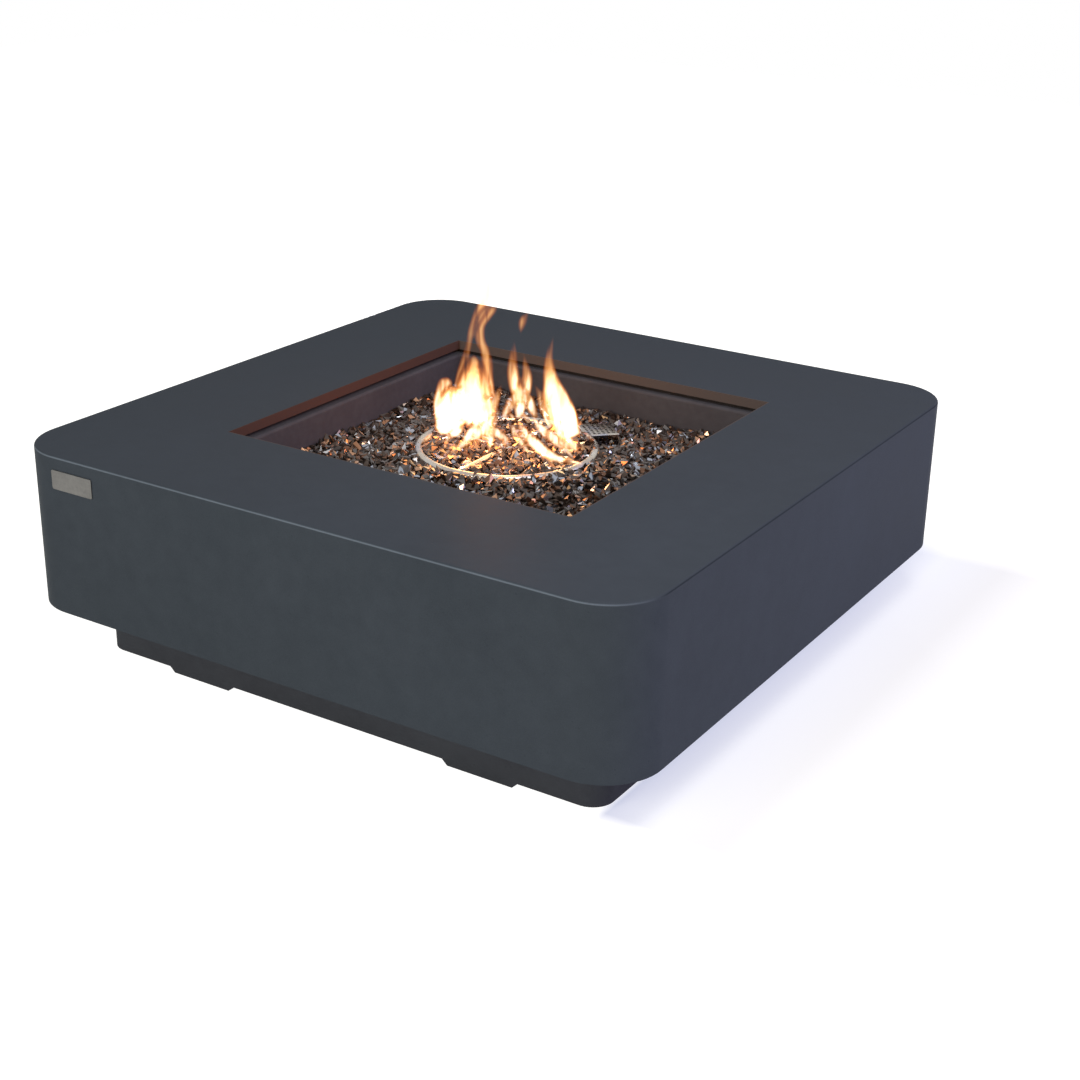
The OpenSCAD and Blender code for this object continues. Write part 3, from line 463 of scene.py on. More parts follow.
@dataclass(frozen=True)
class Finish:
    """A finish, which makes its material once."""

    name: str
    target: ClassVar[str] = "Surface"

    def material(self) -> bpy.types.Material:
        """Gives the finish's material, which is built the first time.

        Returns:
            The material.
        """
        title = f"finish {self.name}"
        known = bpy.data.materials.get(title)
        if known:
            return known
        made = bpy.data.materials.new(title)
        made.use_nodes = True
        made.node_tree.nodes.clear()
        wiring = Wiring(made.node_tree)
        wiring.add("ShaderNodeOutputMaterial", {self.target: self.wire(wiring)})
        return made

    def wire(self, wiring: Wiring) -> bpy.types.NodeSocket:
        """Adds the material's nodes.

        Args:
            wiring: The material's node tree.

        Returns:
            The shader's socket.
        """
        raise NotImplementedError


@dataclass(frozen=True)
class ConcreteFinish(Finish):
    """Smooth cast concrete with soft clouds, fine grit, a few pinholes, and a painted highlight and painted
    shade on its upper edges.
    """

    dark: Colour
    light: Colour
    roughness: float = 0.46
    uneven: float = 0.06
    specular: float = 0.006
    cloud_scale: float = 4.0
    grit_scale: float = 900.0
    grit_depth: float = 0.22 * MM
    grit_strength: float = 0.5
    grit_edges: Span = (0.3, 0.7)
    speckle: Span = (0.93, 1.07)
    pinhole_rarity: float = 0.93
    painted_highlight: float = 2.0
    painted_shade: float = 0.6
    painted_firelight: Colour | None = None
    painted_firelight_left: Colour | None = None
    firelight_within: float = 306.5 * MM
    firelight_above: float = 300.0 * MM
    firelight_left_beyond: float = 303.0 * MM

    def wire(self, wiring: Wiring) -> bpy.types.NodeSocket:
        """Wires clouds into the colour, and grit into roughness and normal.

        Args:
            wiring: The material's node tree.

        Returns:
            The shader's socket.
        """
        clouds = Mottle.on(wiring, Scale=self.cloud_scale, Dark=rgba(self.dark), Light=rgba(self.light))
        grit = Grit.on(wiring, Scale=self.grit_scale, Rarity=self.pinhole_rarity)["Height"]
        edge_light = PaintedEdgeLight.on(wiring, Rubbed=self.painted_highlight, Stained=self.painted_shade)["Tone"]
        speckle = wiring.remap(grit, *self.grit_edges, *self.speckle)
        # The edge tone paints a highlight on edges that face the front, and shade on edges that face the
        # right
        colour = wiring.scaled(clouds["Colour"], wiring.maths("MULTIPLY", speckle, edge_light))
        # Painted firelight: the flames' light painted onto the lip round the opening
        if self.painted_firelight:
            colour = self.paint_firelight(wiring, colour)
        rough = (self.roughness - self.uneven, self.roughness + self.uneven)
        return wiring.surface({
            "Base Color": colour, "Roughness": wiring.remap(clouds["Mask"], 0.0, 1.0, *rough),
            "Specular IOR Level": self.specular,
            "Normal": wiring.bump(grit, self.grit_depth, self.grit_strength)})

    def paint_firelight(self, wiring: Wiring, colour: bpy.types.NodeSocket) -> bpy.types.NodeSocket:
        """Paints the flames' light onto the lip round the opening, as painted light that is redder and darker
        on its left side.

        Args:
            wiring: The material's node tree.
            colour: The plain concrete's colour.

        Returns:
            The socket of the colour with the lip.
        """
        spot = wiring.axes(wiring.place())
        sides = (wiring.maths("ABSOLUTE", spot["X"]), wiring.maths("ABSOLUTE", spot["Y"]))
        within = wiring.maths("LESS_THAN", wiring.maths("MAXIMUM", *sides), self.firelight_within)
        above = wiring.maths("GREATER_THAN", spot["Z"], self.firelight_above)
        left = wiring.maths("LESS_THAN", spot["X"], -self.firelight_left_beyond)
        # Redder, darker painted firelight on the left side of the lip
        firelit = wiring.blend(left, self.painted_firelight, self.painted_firelight_left)
        return wiring.blend(wiring.maths("MULTIPLY", within, above), colour, firelit)


@dataclass(frozen=True)
class MetalFinish(Finish):
    """Bare metal with brushed or cast streaks and faint tarnish."""

    bright: Colour
    dull: Colour
    smooth: float = 0.24
    rough: float = 0.42
    grain: Grain = Grain.CAST
    tarnish_scale: float = 25.0
    metallic: float = 1.0
    depth: float = 0.03 * MM
    strength: float = 0.6
    specular: float = 0.5

    def wire(self, wiring: Wiring) -> bpy.types.NodeSocket:
        """Wires tarnish into the colour, and streaks into roughness and normal.

        Args:
            wiring: The material's node tree.

        Returns:
            The shader's socket.
        """
        tarnish = Mottle.on(wiring, Scale=self.tarnish_scale, Dark=rgba(self.dull), Light=rgba(self.bright))
        streak = Streaks.on(wiring, Stretch=self.grain.value)["Streak"]
        return wiring.surface({
            "Base Color": tarnish["Colour"], "Metallic": self.metallic, "Specular IOR Level": self.specular,
            "Roughness": wiring.remap(streak, 0.0, 1.0, self.smooth, self.rough),
            "Normal": wiring.bump(streak, self.depth, self.strength)})


@dataclass(frozen=True)
class HeatedSteelFinish(Finish):
    """Stainless steel with the temper colours of a burner."""

    steel: Colour
    amount: float
    smooth: float = 0.2
    rough: float = 0.38
    tint_scale: float = 24.0
    depth: float = 0.03 * MM
    strength: float = 0.5

    def wire(self, wiring: Wiring) -> bpy.types.NodeSocket:
        """Wires temper colours over steel, with fine streaks.

        Args:
            wiring: The material's node tree.

        Returns:
            The shader's socket.
        """
        tint = HeatTint.on(wiring, Scale=self.tint_scale, Amount=self.amount, Steel=rgba(self.steel))
        streak = Streaks.on(wiring, Stretch=Grain.CAST.value)["Streak"]
        return wiring.surface({
            "Base Color": tint["Colour"], "Metallic": 1.0,
            "Roughness": wiring.remap(streak, 0.0, 1.0, self.smooth, self.rough),
            "Normal": wiring.bump(streak, self.depth, self.strength)})


@dataclass(frozen=True)
class MouldedFinish(Finish):
    """Plastic, rubber, ceramic or fibre with a fine moulded grain."""

    dark: Colour
    light: Colour
    roughness: float = 0.45
    uneven: float = 0.1
    specular: float = 0.5
    mottle_scale: float = 60.0
    grain_scale: float = 1400.0
    depth: float = 0.04 * MM
    strength: float = 0.6
    pinhole_rarity: float = 1.0

    def wire(self, wiring: Wiring) -> bpy.types.NodeSocket:
        """Wires a faint mottle into the colour and the grain into roughness and normal.

        Args:
            wiring: The material's node tree.

        Returns:
            The shader's socket.
        """
        tone = Mottle.on(wiring, Scale=self.mottle_scale, Dark=rgba(self.dark), Light=rgba(self.light))
        grit = Grit.on(wiring, Scale=self.grain_scale, Rarity=self.pinhole_rarity)["Height"]
        rough = (self.roughness, self.roughness + self.uneven)
        return wiring.surface({
            "Base Color": tone["Colour"], "Specular IOR Level": self.specular,
            "Roughness": wiring.remap(tone["Mask"], 0.0, 1.0, *rough),
            "Normal": wiring.bump(grit, self.depth, self.strength)})


@dataclass(frozen=True)
class SleeveFinish(Finish):
    """A battery's printed sleeve: a dark body and a copper band at its cap end."""

    band_from: float
    dark: Colour = (0.02, 0.02, 0.022)
    shades: Span = (0.8, 1.3)
    mottle_scale: float = 80.0
    band: Colour = (0.55, 0.28, 0.12)
    roughness: float = 0.32

    def wire(self, wiring: Wiring) -> bpy.types.NodeSocket:
        """Wires the band by its place along Y, and a faint mottle over it.

        Args:
            wiring: The material's node tree.

        Returns:
            The shader's socket.
        """
        mask = wiring.maths("GREATER_THAN", wiring.axes(wiring.place())["Y"], self.band_from)
        darker, lighter = (rgba(shaded(self.dark, shade)) for shade in self.shades)
        tone = Mottle.on(wiring, Scale=self.mottle_scale, Dark=darker, Light=lighter)["Colour"]
        return wiring.surface({"Base Color": wiring.blend(mask, tone, self.band), "Metallic": mask,
                               "Roughness": self.roughness})


@dataclass(frozen=True)
class FireGlassFinish(Finish):
    """Broken reflective glass: dark chips, with copper and grey mirror coats on some of their facets."""

    tone_name: str
    facet_name: str
    COATS: ClassVar[Stops] = (
        (0.0, (0.06, 0.04, 0.029)), (0.3, (0.14, 0.072, 0.043)), (0.5, (0.3, 0.145, 0.075)),
        (0.68, (0.42, 0.23, 0.13)), (0.76, (0.12, 0.112, 0.108)), (0.9, (0.32, 0.35, 0.4)))
    dark: Colour = (0.042, 0.03, 0.023)
    coated_share: float = 0.5
    coat_metal: float = 0.7
    roughness: Span = (0.05, 0.24)

    def wire(self, wiring: Wiring) -> bpy.types.NodeSocket:
        """Wires each chip's tone and each facet's coat into colour, metal and gloss.

        Args:
            wiring: The material's node tree.

        Returns:
            The shader's socket.
        """
        tone, facet = (wiring.add("ShaderNodeAttribute", attribute_name=name).outputs["Fac"]
                       for name in (self.tone_name, self.facet_name))
        coat = wiring.ramp(tone, self.COATS, "CONSTANT")
        coated = wiring.maths("LESS_THAN", facet, self.coated_share)
        return wiring.surface({
            "Base Color": wiring.blend(coated, self.dark, coat),
            "Metallic": wiring.maths("MULTIPLY", coated, self.coat_metal),
            "Roughness": wiring.remap(facet, 0.0, 1.0, *self.roughness)})


@dataclass(frozen=True)
class FloorFinish(Finish):
    """A white floor with a painted pale, cool shadow along the table's right side, over a diffuse part that
    also keeps the real shadow.
    """

    PAINTED_SHADOW: ClassVar[Stops] = ((0.0, (0.48, 0.515, 0.65)), (0.1, (0.59, 0.615, 0.71)),
                             (0.3, (0.54, 0.55, 0.6)), (1.0, WHITE))
    white: Colour = (0.8, 0.8, 0.8)
    catch: Colour = (0.5, 0.48, 0.4)
    side: float = 0.45
    reach: float = 0.55
    blur: float = 0.015
    far_end: float = 0.66
    far_fade: float = 0.14

    def wire(self, wiring: Wiring) -> bpy.types.NodeSocket:
        """Wires a plain white for the light, and for the background a white glow with a painted pale shadow,
        plus a diffuse part that catches the real shadow.

        Args:
            wiring: The material's node tree.

        Returns:
            The shader's socket.
        """
        spot = wiring.axes(wiring.place())
        pale = wiring.ramp(wiring.remap(spot["X"], self.side, self.side + self.reach), self.PAINTED_SHADOW)
        beside = wiring.maths("MULTIPLY", wiring.remap(spot["X"], self.side - self.blur, self.side),
                              wiring.remap(spot["Y"], -self.side - self.blur, self.blur - self.side))
        ending = wiring.remap(spot["Y"], self.far_end, self.far_end + self.far_fade, 1.0, 0.0)
        # Painted shadow beside the table's right side, fading out towards the back; white elsewhere
        shade = wiring.blend(wiring.maths("MULTIPLY", beside, ending), WHITE, pale)
        glow = wiring.add("ShaderNodeEmission", {"Color": shade, "Strength": 1.0})
        catch = wiring.add("ShaderNodeBsdfDiffuse", {"Color": rgba(self.catch)})
        shown = wiring.add("ShaderNodeAddShader", {0: glow.outputs[0], 1: catch.outputs[0]})
        plain = wiring.add("ShaderNodeBsdfDiffuse", {"Color": rgba(self.white)})
        mixed = {0: wiring.seen(), 1: plain.outputs[0], 2: shown.outputs[0]}
        return wiring.add("ShaderNodeMixShader", mixed).outputs[0]


@dataclass(frozen=True)
class FlameFinish(Finish):
    """Burning gas: streaks that are orange where thin and nearly white where hot."""

    target: ClassVar[str] = "Volume"
    HEAT: ClassVar[Stops] = ((0.0, (1.0, 0.15, 0.01)), (0.1, (1.0, 0.3, 0.06)),
                             (0.28, (1.0, 0.54, 0.22)), (0.55, (1.0, 0.84, 0.68)))
    brightness: float = 230.0
    density: float = 220.0
    tint: Colour = (1.0, 0.87, 0.6)
    stretch: Point = (80.0, 80.0, 13.0)
    streak_edges: Span = (0.36, 0.62)
    faintest: float = 0.14
    hot_up_to: float = 0.34
    cool_from: float = 0.43
    coolest: float = 0.34

    def wire(self, wiring: Wiring) -> bpy.types.NodeSocket:
        """Wires streaks and height into the heat, and the heat into glow and tint.

        Args:
            wiring: The material's node tree.

        Returns:
            The shader's socket.
        """
        place = wiring.place()
        noise = wiring.noise(wiring.stretched(place, self.stretch), 1.0, Detail=2.0, Distortion=0.7)
        streak = wiring.remap(noise, *self.streak_edges, self.faintest, 1.0)
        up = wiring.axes(place)["Z"]
        warmth = wiring.remap(up, self.hot_up_to, self.cool_from, 1.0, self.coolest)
        thick = wiring.maths("MULTIPLY", wiring.add("ShaderNodeVolumeInfo").outputs["Density"], streak)
        heat = wiring.maths("MULTIPLY", thick, warmth)
        return wiring.add("ShaderNodeVolumePrincipled", {
            "Color": rgba(BLACK), "Absorption Color": rgba(self.tint),
            "Density": wiring.maths("MULTIPLY", thick, self.density),
            "Emission Color": wiring.ramp(heat, self.HEAT),
            "Emission Strength": wiring.maths("MULTIPLY", heat, self.brightness)}).outputs[0]


class Workshop:
    """Makes objects from meshes, and dresses pieces and CAD nodes."""

    MERGE: ClassVar[float] = 0.005 * MM
    FLAT_ANGLE: ClassVar[float] = math.radians(0.4)
    SHARP_ANGLE: ClassVar[float] = math.radians(40.0)

    @staticmethod
    def link(name: str, data: bpy.types.ID) -> bpy.types.Object:
        """Puts a mesh, a volume, a lamp or a camera into the scene as an object at the origin.

        Args:
            name: Name of the object.
            data: What the object shows.

        Returns:
            The object.
        """
        thing = bpy.data.objects.new(name, data)
        bpy.context.scene.collection.objects.link(thing)
        return thing

    @staticmethod
    def from_bmesh(name: str, shape: bmesh.types.BMesh) -> bpy.types.Object:
        """Turns a bmesh into an object and frees it.

        Args:
            name: Name of the object.
            shape: The bmesh.

        Returns:
            The object.
        """
        mesh = bpy.data.meshes.new(name)
        shape.to_mesh(mesh)
        shape.free()
        return Workshop.link(name, mesh)

    @staticmethod
    def settle(piece: bpy.types.Object) -> bpy.types.Object:
        """Applies all modifiers of a piece to its mesh.

        Args:
            piece: The piece, whose modifiers are removed.

        Returns:
            The same piece.
        """
        depsgraph = bpy.context.evaluated_depsgraph_get()
        mesh = bpy.data.meshes.new_from_object(piece.evaluated_get(depsgraph))
        piece.modifiers.clear()
        piece.data = mesh
        return piece

    @staticmethod
    def smooth(piece: bpy.types.Object, angle: float = 32.0) -> bpy.types.Object:
        """Shades a piece smooth up to an angle, with its large faces kept flat.

        Args:
            piece: The piece to shade.
            angle: Largest angle in degrees that stays smooth.

        Returns:
            The same piece.
        """
        piece.data.shade_smooth()
        piece.data.set_sharp_from_angle(angle=math.radians(angle))
        piece.modifiers.new("flat faces", "WEIGHTED_NORMAL").keep_sharp = True
        return Workshop.settle(piece)

    @staticmethod
    def softened(node: str, width: float, steps: int = 2,
                 chosen: Callable[[bmesh.types.BMEdge], bool] | None = None) -> bpy.types.Object:
        """Copies a CAD node and rounds its sharp edges.

        Args:
            node: The CAD node's name.
            width: Width of the rounding in metres.
            steps: Faces across the rounding.
            chosen: Tells which edges are rounded, where that isn't all sharp ones.

        Returns:
            The copy, which isn't yet dressed.
        """
        shape = bmesh.new()
        shape.from_mesh(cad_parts[node].data)
        bmesh.ops.remove_doubles(shape, verts=shape.verts, dist=Workshop.MERGE)
        bmesh.ops.dissolve_limit(shape, angle_limit=Workshop.FLAT_ANGLE, verts=shape.verts, edges=shape.edges)
        if chosen:
            weight = shape.edges.layers.float.new("bevel_weight_edge")
            for edge in shape.edges:
                edge[weight] = float(chosen(edge))
        piece = Workshop.from_bmesh(f"{node}_finished", shape)
        rounding = piece.modifiers.new("soft edges", "BEVEL")
        rounding.width = width
        rounding.segments = steps
        rounding.limit_method = "WEIGHT" if chosen else "ANGLE"
        rounding.angle_limit = Workshop.SHARP_ANGLE
        return Workshop.smooth(Workshop.settle(piece))

    @staticmethod
    def dress(finishes: dict[str, Finish]) -> None:
        """Gives CAD nodes their finishes.

        Args:
            finishes: Each node's finish, by the node's name.
        """
        for node, finish in finishes.items():
            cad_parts[node].material_slots[0].material = finish.material()
            LOG.info("dressed %s with %s", node, finish.name)

    @staticmethod
    def place(piece: bpy.types.Object, finish: Finish | None, body: Body, slot: str, *nodes: str) -> None:
        """Finishes a new piece, ties it to its body, and hides the CAD nodes that it stands for.

        Args:
            piece: The new piece.
            finish: Its finish, or None where the mesh has its material.
            body: The body that it rides on.
            slot: The record's material slot; not used.
            *nodes: CAD nodes that it replaces.
        """
        if finish:
            piece.data.materials.clear()
            piece.data.materials.append(finish.material())
        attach(piece, body.value)
        if nodes:
            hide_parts(*nodes)
        LOG.info("placed %s: %d faces", piece.name, len(piece.data.polygons))


class Palette:
    """All finishes of the table."""

    # The body's concrete carries the painted firelight of the lip round the opening
    CONCRETE = ConcreteFinish("body_concrete", (0.0475, 0.056, 0.0645), (0.0555, 0.065, 0.0745),
                              painted_firelight=(0.095, 0.078, 0.07), painted_firelight_left=(0.078, 0.045, 0.036))
    PLINTH = ConcreteFinish("plinth_concrete", (0.052, 0.0545, 0.061), (0.0615, 0.065, 0.0725),
                            cloud_scale=6.0, painted_highlight=0.0, painted_shade=0.0)
    PAN = MetalFinish("pan_heat_coat", (0.071, 0.069, 0.075), (0.055, 0.053, 0.058), smooth=0.42, rough=0.6,
                      tarnish_scale=9.0, metallic=0.0, specular=0.04)
    BURNER = HeatedSteelFinish("burner_stainless", (0.5, 0.47, 0.43), amount=0.35)
    HOOD = HeatedSteelFinish("hood_stainless", (0.46, 0.45, 0.44), amount=0.35, smooth=0.13, rough=0.22,
                             tint_scale=30.0)
    ZINC = MetalFinish("zinc_plate", (0.6, 0.61, 0.62), (0.48, 0.49, 0.5), smooth=0.3, rough=0.5)
    BLACK_STEEL = MetalFinish("black_oxide", (0.05, 0.05, 0.052), (0.03, 0.03, 0.032), smooth=0.35,
                              rough=0.55)
    PIPE = MetalFinish("pipe_steel", (0.4, 0.4, 0.4), (0.28, 0.27, 0.26), smooth=0.35, rough=0.55,
                       grain=Grain.ALONG_Z)
    BRASS = MetalFinish("valve_brass", (0.72, 0.53, 0.24), (0.55, 0.38, 0.17))
    SHUTTER = MetalFinish("shutter_zinc", (0.58, 0.58, 0.58), (0.45, 0.45, 0.46), smooth=0.28, rough=0.45)
    COPPER = MetalFinish("tube_copper", (0.68, 0.36, 0.22), (0.45, 0.22, 0.13), smooth=0.26, rough=0.45,
                         grain=Grain.ALONG_Y)
    BRIGHT_STEEL = MetalFinish("turned_steel", (0.6, 0.6, 0.6), (0.5, 0.5, 0.5), smooth=0.18, rough=0.32)
    NICHE = MetalFinish("brushed_stainless", (0.56, 0.56, 0.57), (0.47, 0.47, 0.48), smooth=0.26, rough=0.44,
                        grain=Grain.ALONG_X)
    BADGE = MetalFinish("brushed_badge", (0.17, 0.167, 0.16), (0.13, 0.127, 0.122), smooth=0.3, rough=0.48,
                        grain=Grain.ALONG_X)
    KNOB = MouldedFinish("knob_plastic", (0.014, 0.014, 0.015), (0.022, 0.022, 0.023), roughness=0.38)
    POINTER = MouldedFinish("pointer_white", (0.72, 0.71, 0.68), (0.8, 0.79, 0.76), roughness=0.4)
    MODULE = MouldedFinish("igniter_plastic", (0.016, 0.016, 0.017), (0.025, 0.025, 0.026), roughness=0.44)
    BUTTON = MouldedFinish("button_plastic", (0.02, 0.02, 0.021), (0.03, 0.03, 0.031), roughness=0.3)
    RUBBER = MouldedFinish("lead_rubber", (0.012, 0.012, 0.012), (0.02, 0.02, 0.02), roughness=0.6,
                           specular=0.3)
    CERAMIC = MouldedFinish("electrode_ceramic", (0.68, 0.66, 0.6), (0.76, 0.74, 0.69), roughness=0.24)
    FIBRE = MouldedFinish("gasket_fibre", (0.018, 0.017, 0.016), (0.03, 0.028, 0.026), roughness=0.85,
                          specular=0.1, grain_scale=700.0, depth=0.3 * MM)
    BED = MouldedFinish("glass_shade", (0.03, 0.021, 0.016), (0.05, 0.034, 0.025), roughness=0.5)
    FLOOR = FloorFinish("white_floor")


@dataclass
class ConcreteBody:
    """The cast body on its plinth."""

    FINISHES: ClassVar[dict[str, Finish]] = {"base_washers": Palette.ZINC, "base_bolts": Palette.BLACK_STEEL}
    edge: float = 1.5 * MM
    edge_steps: int = 3
    plinth_edge: float = 1.2 * MM

    def build(self) -> None:
        """Rounds the castings' sharp edges and gives them their concrete."""
        shell = Workshop.softened("concrete_shell", self.edge, self.edge_steps)
        Workshop.place(shell, Palette.CONCRETE, Body.TABLE, "concrete", "concrete_shell")
        plinth = Workshop.softened("base_plinth", self.plinth_edge)
        Workshop.place(plinth, Palette.PLINTH, Body.TABLE, "plinth_concrete", "base_plinth")
        Workshop.dress(self.FINISHES)


@dataclass
class IgniterHood:
    """The perforated hood over the igniter, folded from one sheet."""

    bend: float = 1.8 * MM
    bend_steps: int = 3
    side: float = 56.0 * MM
    turn: float = math.radians(47.0)
    slack: float = 0.05 * MM

    def __post_init__(self) -> None:
        """Reads the hood's place from the frame."""
        low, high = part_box("igniter_hood")
        self.centre = (low + high) / 2
        self.top = high.z

    def covers(self, x: float, y: float, gap: float) -> bool:
        """Tells whether a place in plan lies under the hood or close to it.

        Args:
            x: Place along X.
            y: Place along Y.
            gap: How far from the hood is close.

        Returns:
            True under the hood and within the gap.
        """
        dx, dy = x - self.centre.x, y - self.centre.y
        along = dx * math.cos(self.turn) + dy * math.sin(self.turn)
        across = dy * math.cos(self.turn) - dx * math.sin(self.turn)
        return max(abs(along), abs(across)) < self.side / 2 + gap

    def folded(self, edge: bmesh.types.BMEdge) -> bool:
        """Tells whether an edge is an outer fold of the sheet.

        Args:
            edge: An edge of the hood.

        Returns:
            True for the rim of the top and the four upright corners.
        """
        unturn = Matrix.Rotation(-self.turn, 3, "Z")
        first, second = (unturn @ (corner.co - self.centre) for corner in edge.verts)
        rims = [sorted((abs(p.x), abs(p.y))) for p in (first, second, (first + second) / 2)]
        outer = min(rim[1] for rim in rims) > self.side / 2 - self.slack
        corner = min(rim[0] for rim in rims) > self.side / 2 - self.slack
        top = min(first.z, second.z) > self.top - self.centre.z - self.slack
        return corner or (outer and top)

    def build(self) -> None:
        """Rounds the folds of the sheet and gives it its steel."""
        hood = Workshop.softened("igniter_hood", self.bend, self.bend_steps, self.folded)
        Workshop.place(hood, Palette.HOOD, Body.TABLE, "hood_stainless", "igniter_hood")


@dataclass
class GlassBed:
    """The loose fire glass, as broken chips scattered over a mounded bed."""

    hood: IgniterHood
    chip: float = 14.0 * MM
    lengths: Span = (0.8, 1.25)
    widths: Span = (0.6, 1.0)
    thinnest: float = 0.34
    thickest: float = 0.7
    smallest: float = 0.8
    size_range: float = 0.5
    large_rarity: float = 3.0
    tilt: float = 1.0
    corner_shift: float = 0.34
    kinds: int = 7
    spacing: float = 7.6 * MM
    most_per_area: float = 60000.0
    seed: int = 11
    cell: float = 6.0 * MM
    sink: float = 2.0 * MM
    shade_drop: float = 5.0 * MM
    shade_angle: float = 60.0
    wall_gap: float = 3.0 * MM
    depth: float = 31.0 * MM
    mound_rise: float = 20.0 * MM
    mound_foot: float = 262.0 * MM
    mound_top: float = 160.0 * MM
    crown: float = 5.0 * MM
    crown_radius: float = 60.0 * MM
    ring_tube: float = 7.0 * MM
    ring_dip: float = 4.0 * MM
    ring_cover: float = 16.0 * MM
    ring_reach: float = 14.0 * MM
    bare_way: Point = (0.293, -0.958, 0.0)
    least_bare: float = -0.5
    bare_sides: float = 0.1
    bare_gain: float = 2.0
    heap: float = 2.5 * MM
    heap_way: Point = (0.53, -0.85, 0.0)
    wave: float = 1.6 * MM
    wave_counts: Span = (31.0, 27.0)
    wave_starts: Span = (1.3, 0.4)
    hood_gap: float = 4.0 * MM
    hood_out: float = 20.0 * MM
    hollow_gap: float = 8.0 * MM
    hollow_run: float = 45.0 * MM
    tone_name: str = "tone"
    facet_name: str = "facet"

    def __post_init__(self) -> None:
        """Reads the places of bed and ring from the frame."""
        low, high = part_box("glass_bed")
        self.half = high.x - self.wall_gap
        self.level = low.z + self.depth
        self.ring_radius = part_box("burner_ring")[1].x - self.ring_tube
        self.hollow_floor = self.hood.top - self.hood_out
        self.hollow_radius = self.hood.side / math.sqrt(2.0) + self.hollow_gap

    def towards(self, way: Point, x: float, y: float) -> float:
        """Gives how far a place lies towards a side: 1 at the ring or beyond it, and 0 at the centre."""
        return (x * way[0] + y * way[1]) / max(math.hypot(x, y), self.ring_radius)

    def height(self, x: float, y: float) -> float:
        """Gives the bed's height at a place in plan.

        Args:
            x: Place along X.
            y: Place along Y.

        Returns:
            Height above the floor: a mound with a crown over the hub and a hollow round the hood.
        """
        far = math.hypot(x, y)
        rise = clamped((self.mound_foot - far) / (self.mound_foot - self.mound_top))
        mound = self.mound_rise + self.heap * self.towards(self.heap_way, x, y)
        ripples = [math.sin(count * spot + start)
                   for count, spot, start in zip(self.wave_counts, (x, y), self.wave_starts)]
        level = self.level + mound * rise * rise * (3.0 - 2.0 * rise) + self.wave * ripples[0] * ripples[1]
        bare = clamped(self.bare_sides + self.bare_gain * self.towards(self.bare_way, x, y), self.least_bare)
        near_ring = clamped(1.0 - abs(far - self.ring_radius) / self.ring_reach)
        level -= bare * (self.ring_dip if bare > 0.0 else self.ring_cover) * near_ring
        if far < self.ring_radius:
            return level + self.crown * clamped(1.0 - far / self.crown_radius)
        beyond = math.hypot(x - self.hood.centre.x, y - self.hood.centre.y) - self.hollow_radius
        return min(level, self.hollow_floor + max(0.0, beyond) * self.hood_out / self.hollow_run)

    def surface(self, name: str, drop: float) -> bpy.types.Object:
        """Makes the bed's surface as a grid, open under the hood.

        Args:
            name: Name of the object.
            drop: How far the surface lies below the bed's height.

        Returns:
            The surface.
        """
        count = round(2 * self.half / self.cell)
        step = 2 * self.half / count
        shape = bmesh.new()
        lines = [-self.half + i * step for i in range(count + 1)]
        rows = [[shape.verts.new((x, y, 0.0)) for x in lines] for y in lines]
        for j in range(count):
            for i in range(count):
                middle = rows[j][i].co + Vector((step / 2, step / 2, 0.0))
                if not self.hood.covers(middle.x, middle.y, self.hood_gap):
                    shape.faces.new((rows[j][i], rows[j][i + 1], rows[j + 1][i + 1], rows[j + 1][i]))
        for corner in shape.verts:
            corner.co.z = self.height(corner.co.x, corner.co.y) - drop
        bmesh.ops.delete(shape, geom=[v for v in shape.verts if not v.link_faces], context="VERTS")
        return Workshop.from_bmesh(name, shape)

    def strewing(self) -> dict[str, tuple[Socket, Any]]:
        """Gives the inputs of the tree that strews the chips.

        Returns:
            Each input's kind and value, by name.
        """
        finish = FireGlassFinish("fire_glass_chips", self.tone_name, self.facet_name)
        return {"Surface": (Socket.SHAPE, None), "Chip": (Socket.VALUE, self.chip),
                "Thinnest": (Socket.VALUE, self.thinnest), "Spacing": (Socket.VALUE, self.spacing),
                "Seed": (Socket.COUNT, self.seed), "Material": (Socket.MATERIAL, finish.material())}

    @staticmethod
    def chance(wiring: Wiring, seed: bpy.types.NodeSocket, low: Any, high: Any, offset: int,
               kind: str = "FLOAT") -> bpy.types.NodeSocket:
        """Gives a random value with its own seed.

        Args:
            wiring: The tree.
            seed: The tree's seed.
            low: Lowest value.
            high: Highest value.
            offset: What is added to the seed.
            kind: Blender's name of the value's type.

        Returns:
            The value's socket.
        """
        own = wiring.maths("ADD", seed, float(offset))
        node = wiring.add("FunctionNodeRandomValue", {"Seed": own}, data_type=kind)
        ends = [socket for socket in node.inputs if socket.enabled and socket.name in ("Min", "Max")]
        for socket, value in zip(ends, (low, high)):
            wiring.feed(socket, value)
        return next(socket for socket in node.outputs if socket.enabled)

    def chip_shapes(self, wiring: Wiring, seed: bpy.types.NodeSocket) -> bpy.types.NodeSocket:
        """Makes the kinds of chips, as hulls of balls whose corners are moved.

        Args:
            wiring: The tree.
            seed: The tree's seed.

        Returns:
            The socket of all kinds, as instances.
        """
        shapes = wiring.add("GeometryNodeJoinGeometry")
        low, high = ((end * self.corner_shift,) * 3 for end in (-1.0, 1.0))
        for kind in range(self.kinds):
            ball = wiring.add("GeometryNodeMeshIcoSphere", {"Radius": 0.5, "Subdivisions": 1})
            shift = self.chance(wiring, seed, low, high, Draw.CORNERS.value + kind, "FLOAT_VECTOR")
            bent = wiring.add("GeometryNodeSetPosition", {"Geometry": ball.outputs["Mesh"], "Offset": shift})
            hull = wiring.add("GeometryNodeConvexHull", {"Geometry": bent.outputs[0]})
            whole = wiring.add("GeometryNodeGeometryToInstance", {"Geometry": hull.outputs[0]})
            wiring.feed(shapes.inputs[0], whole.outputs[0])
        return shapes.outputs[0]

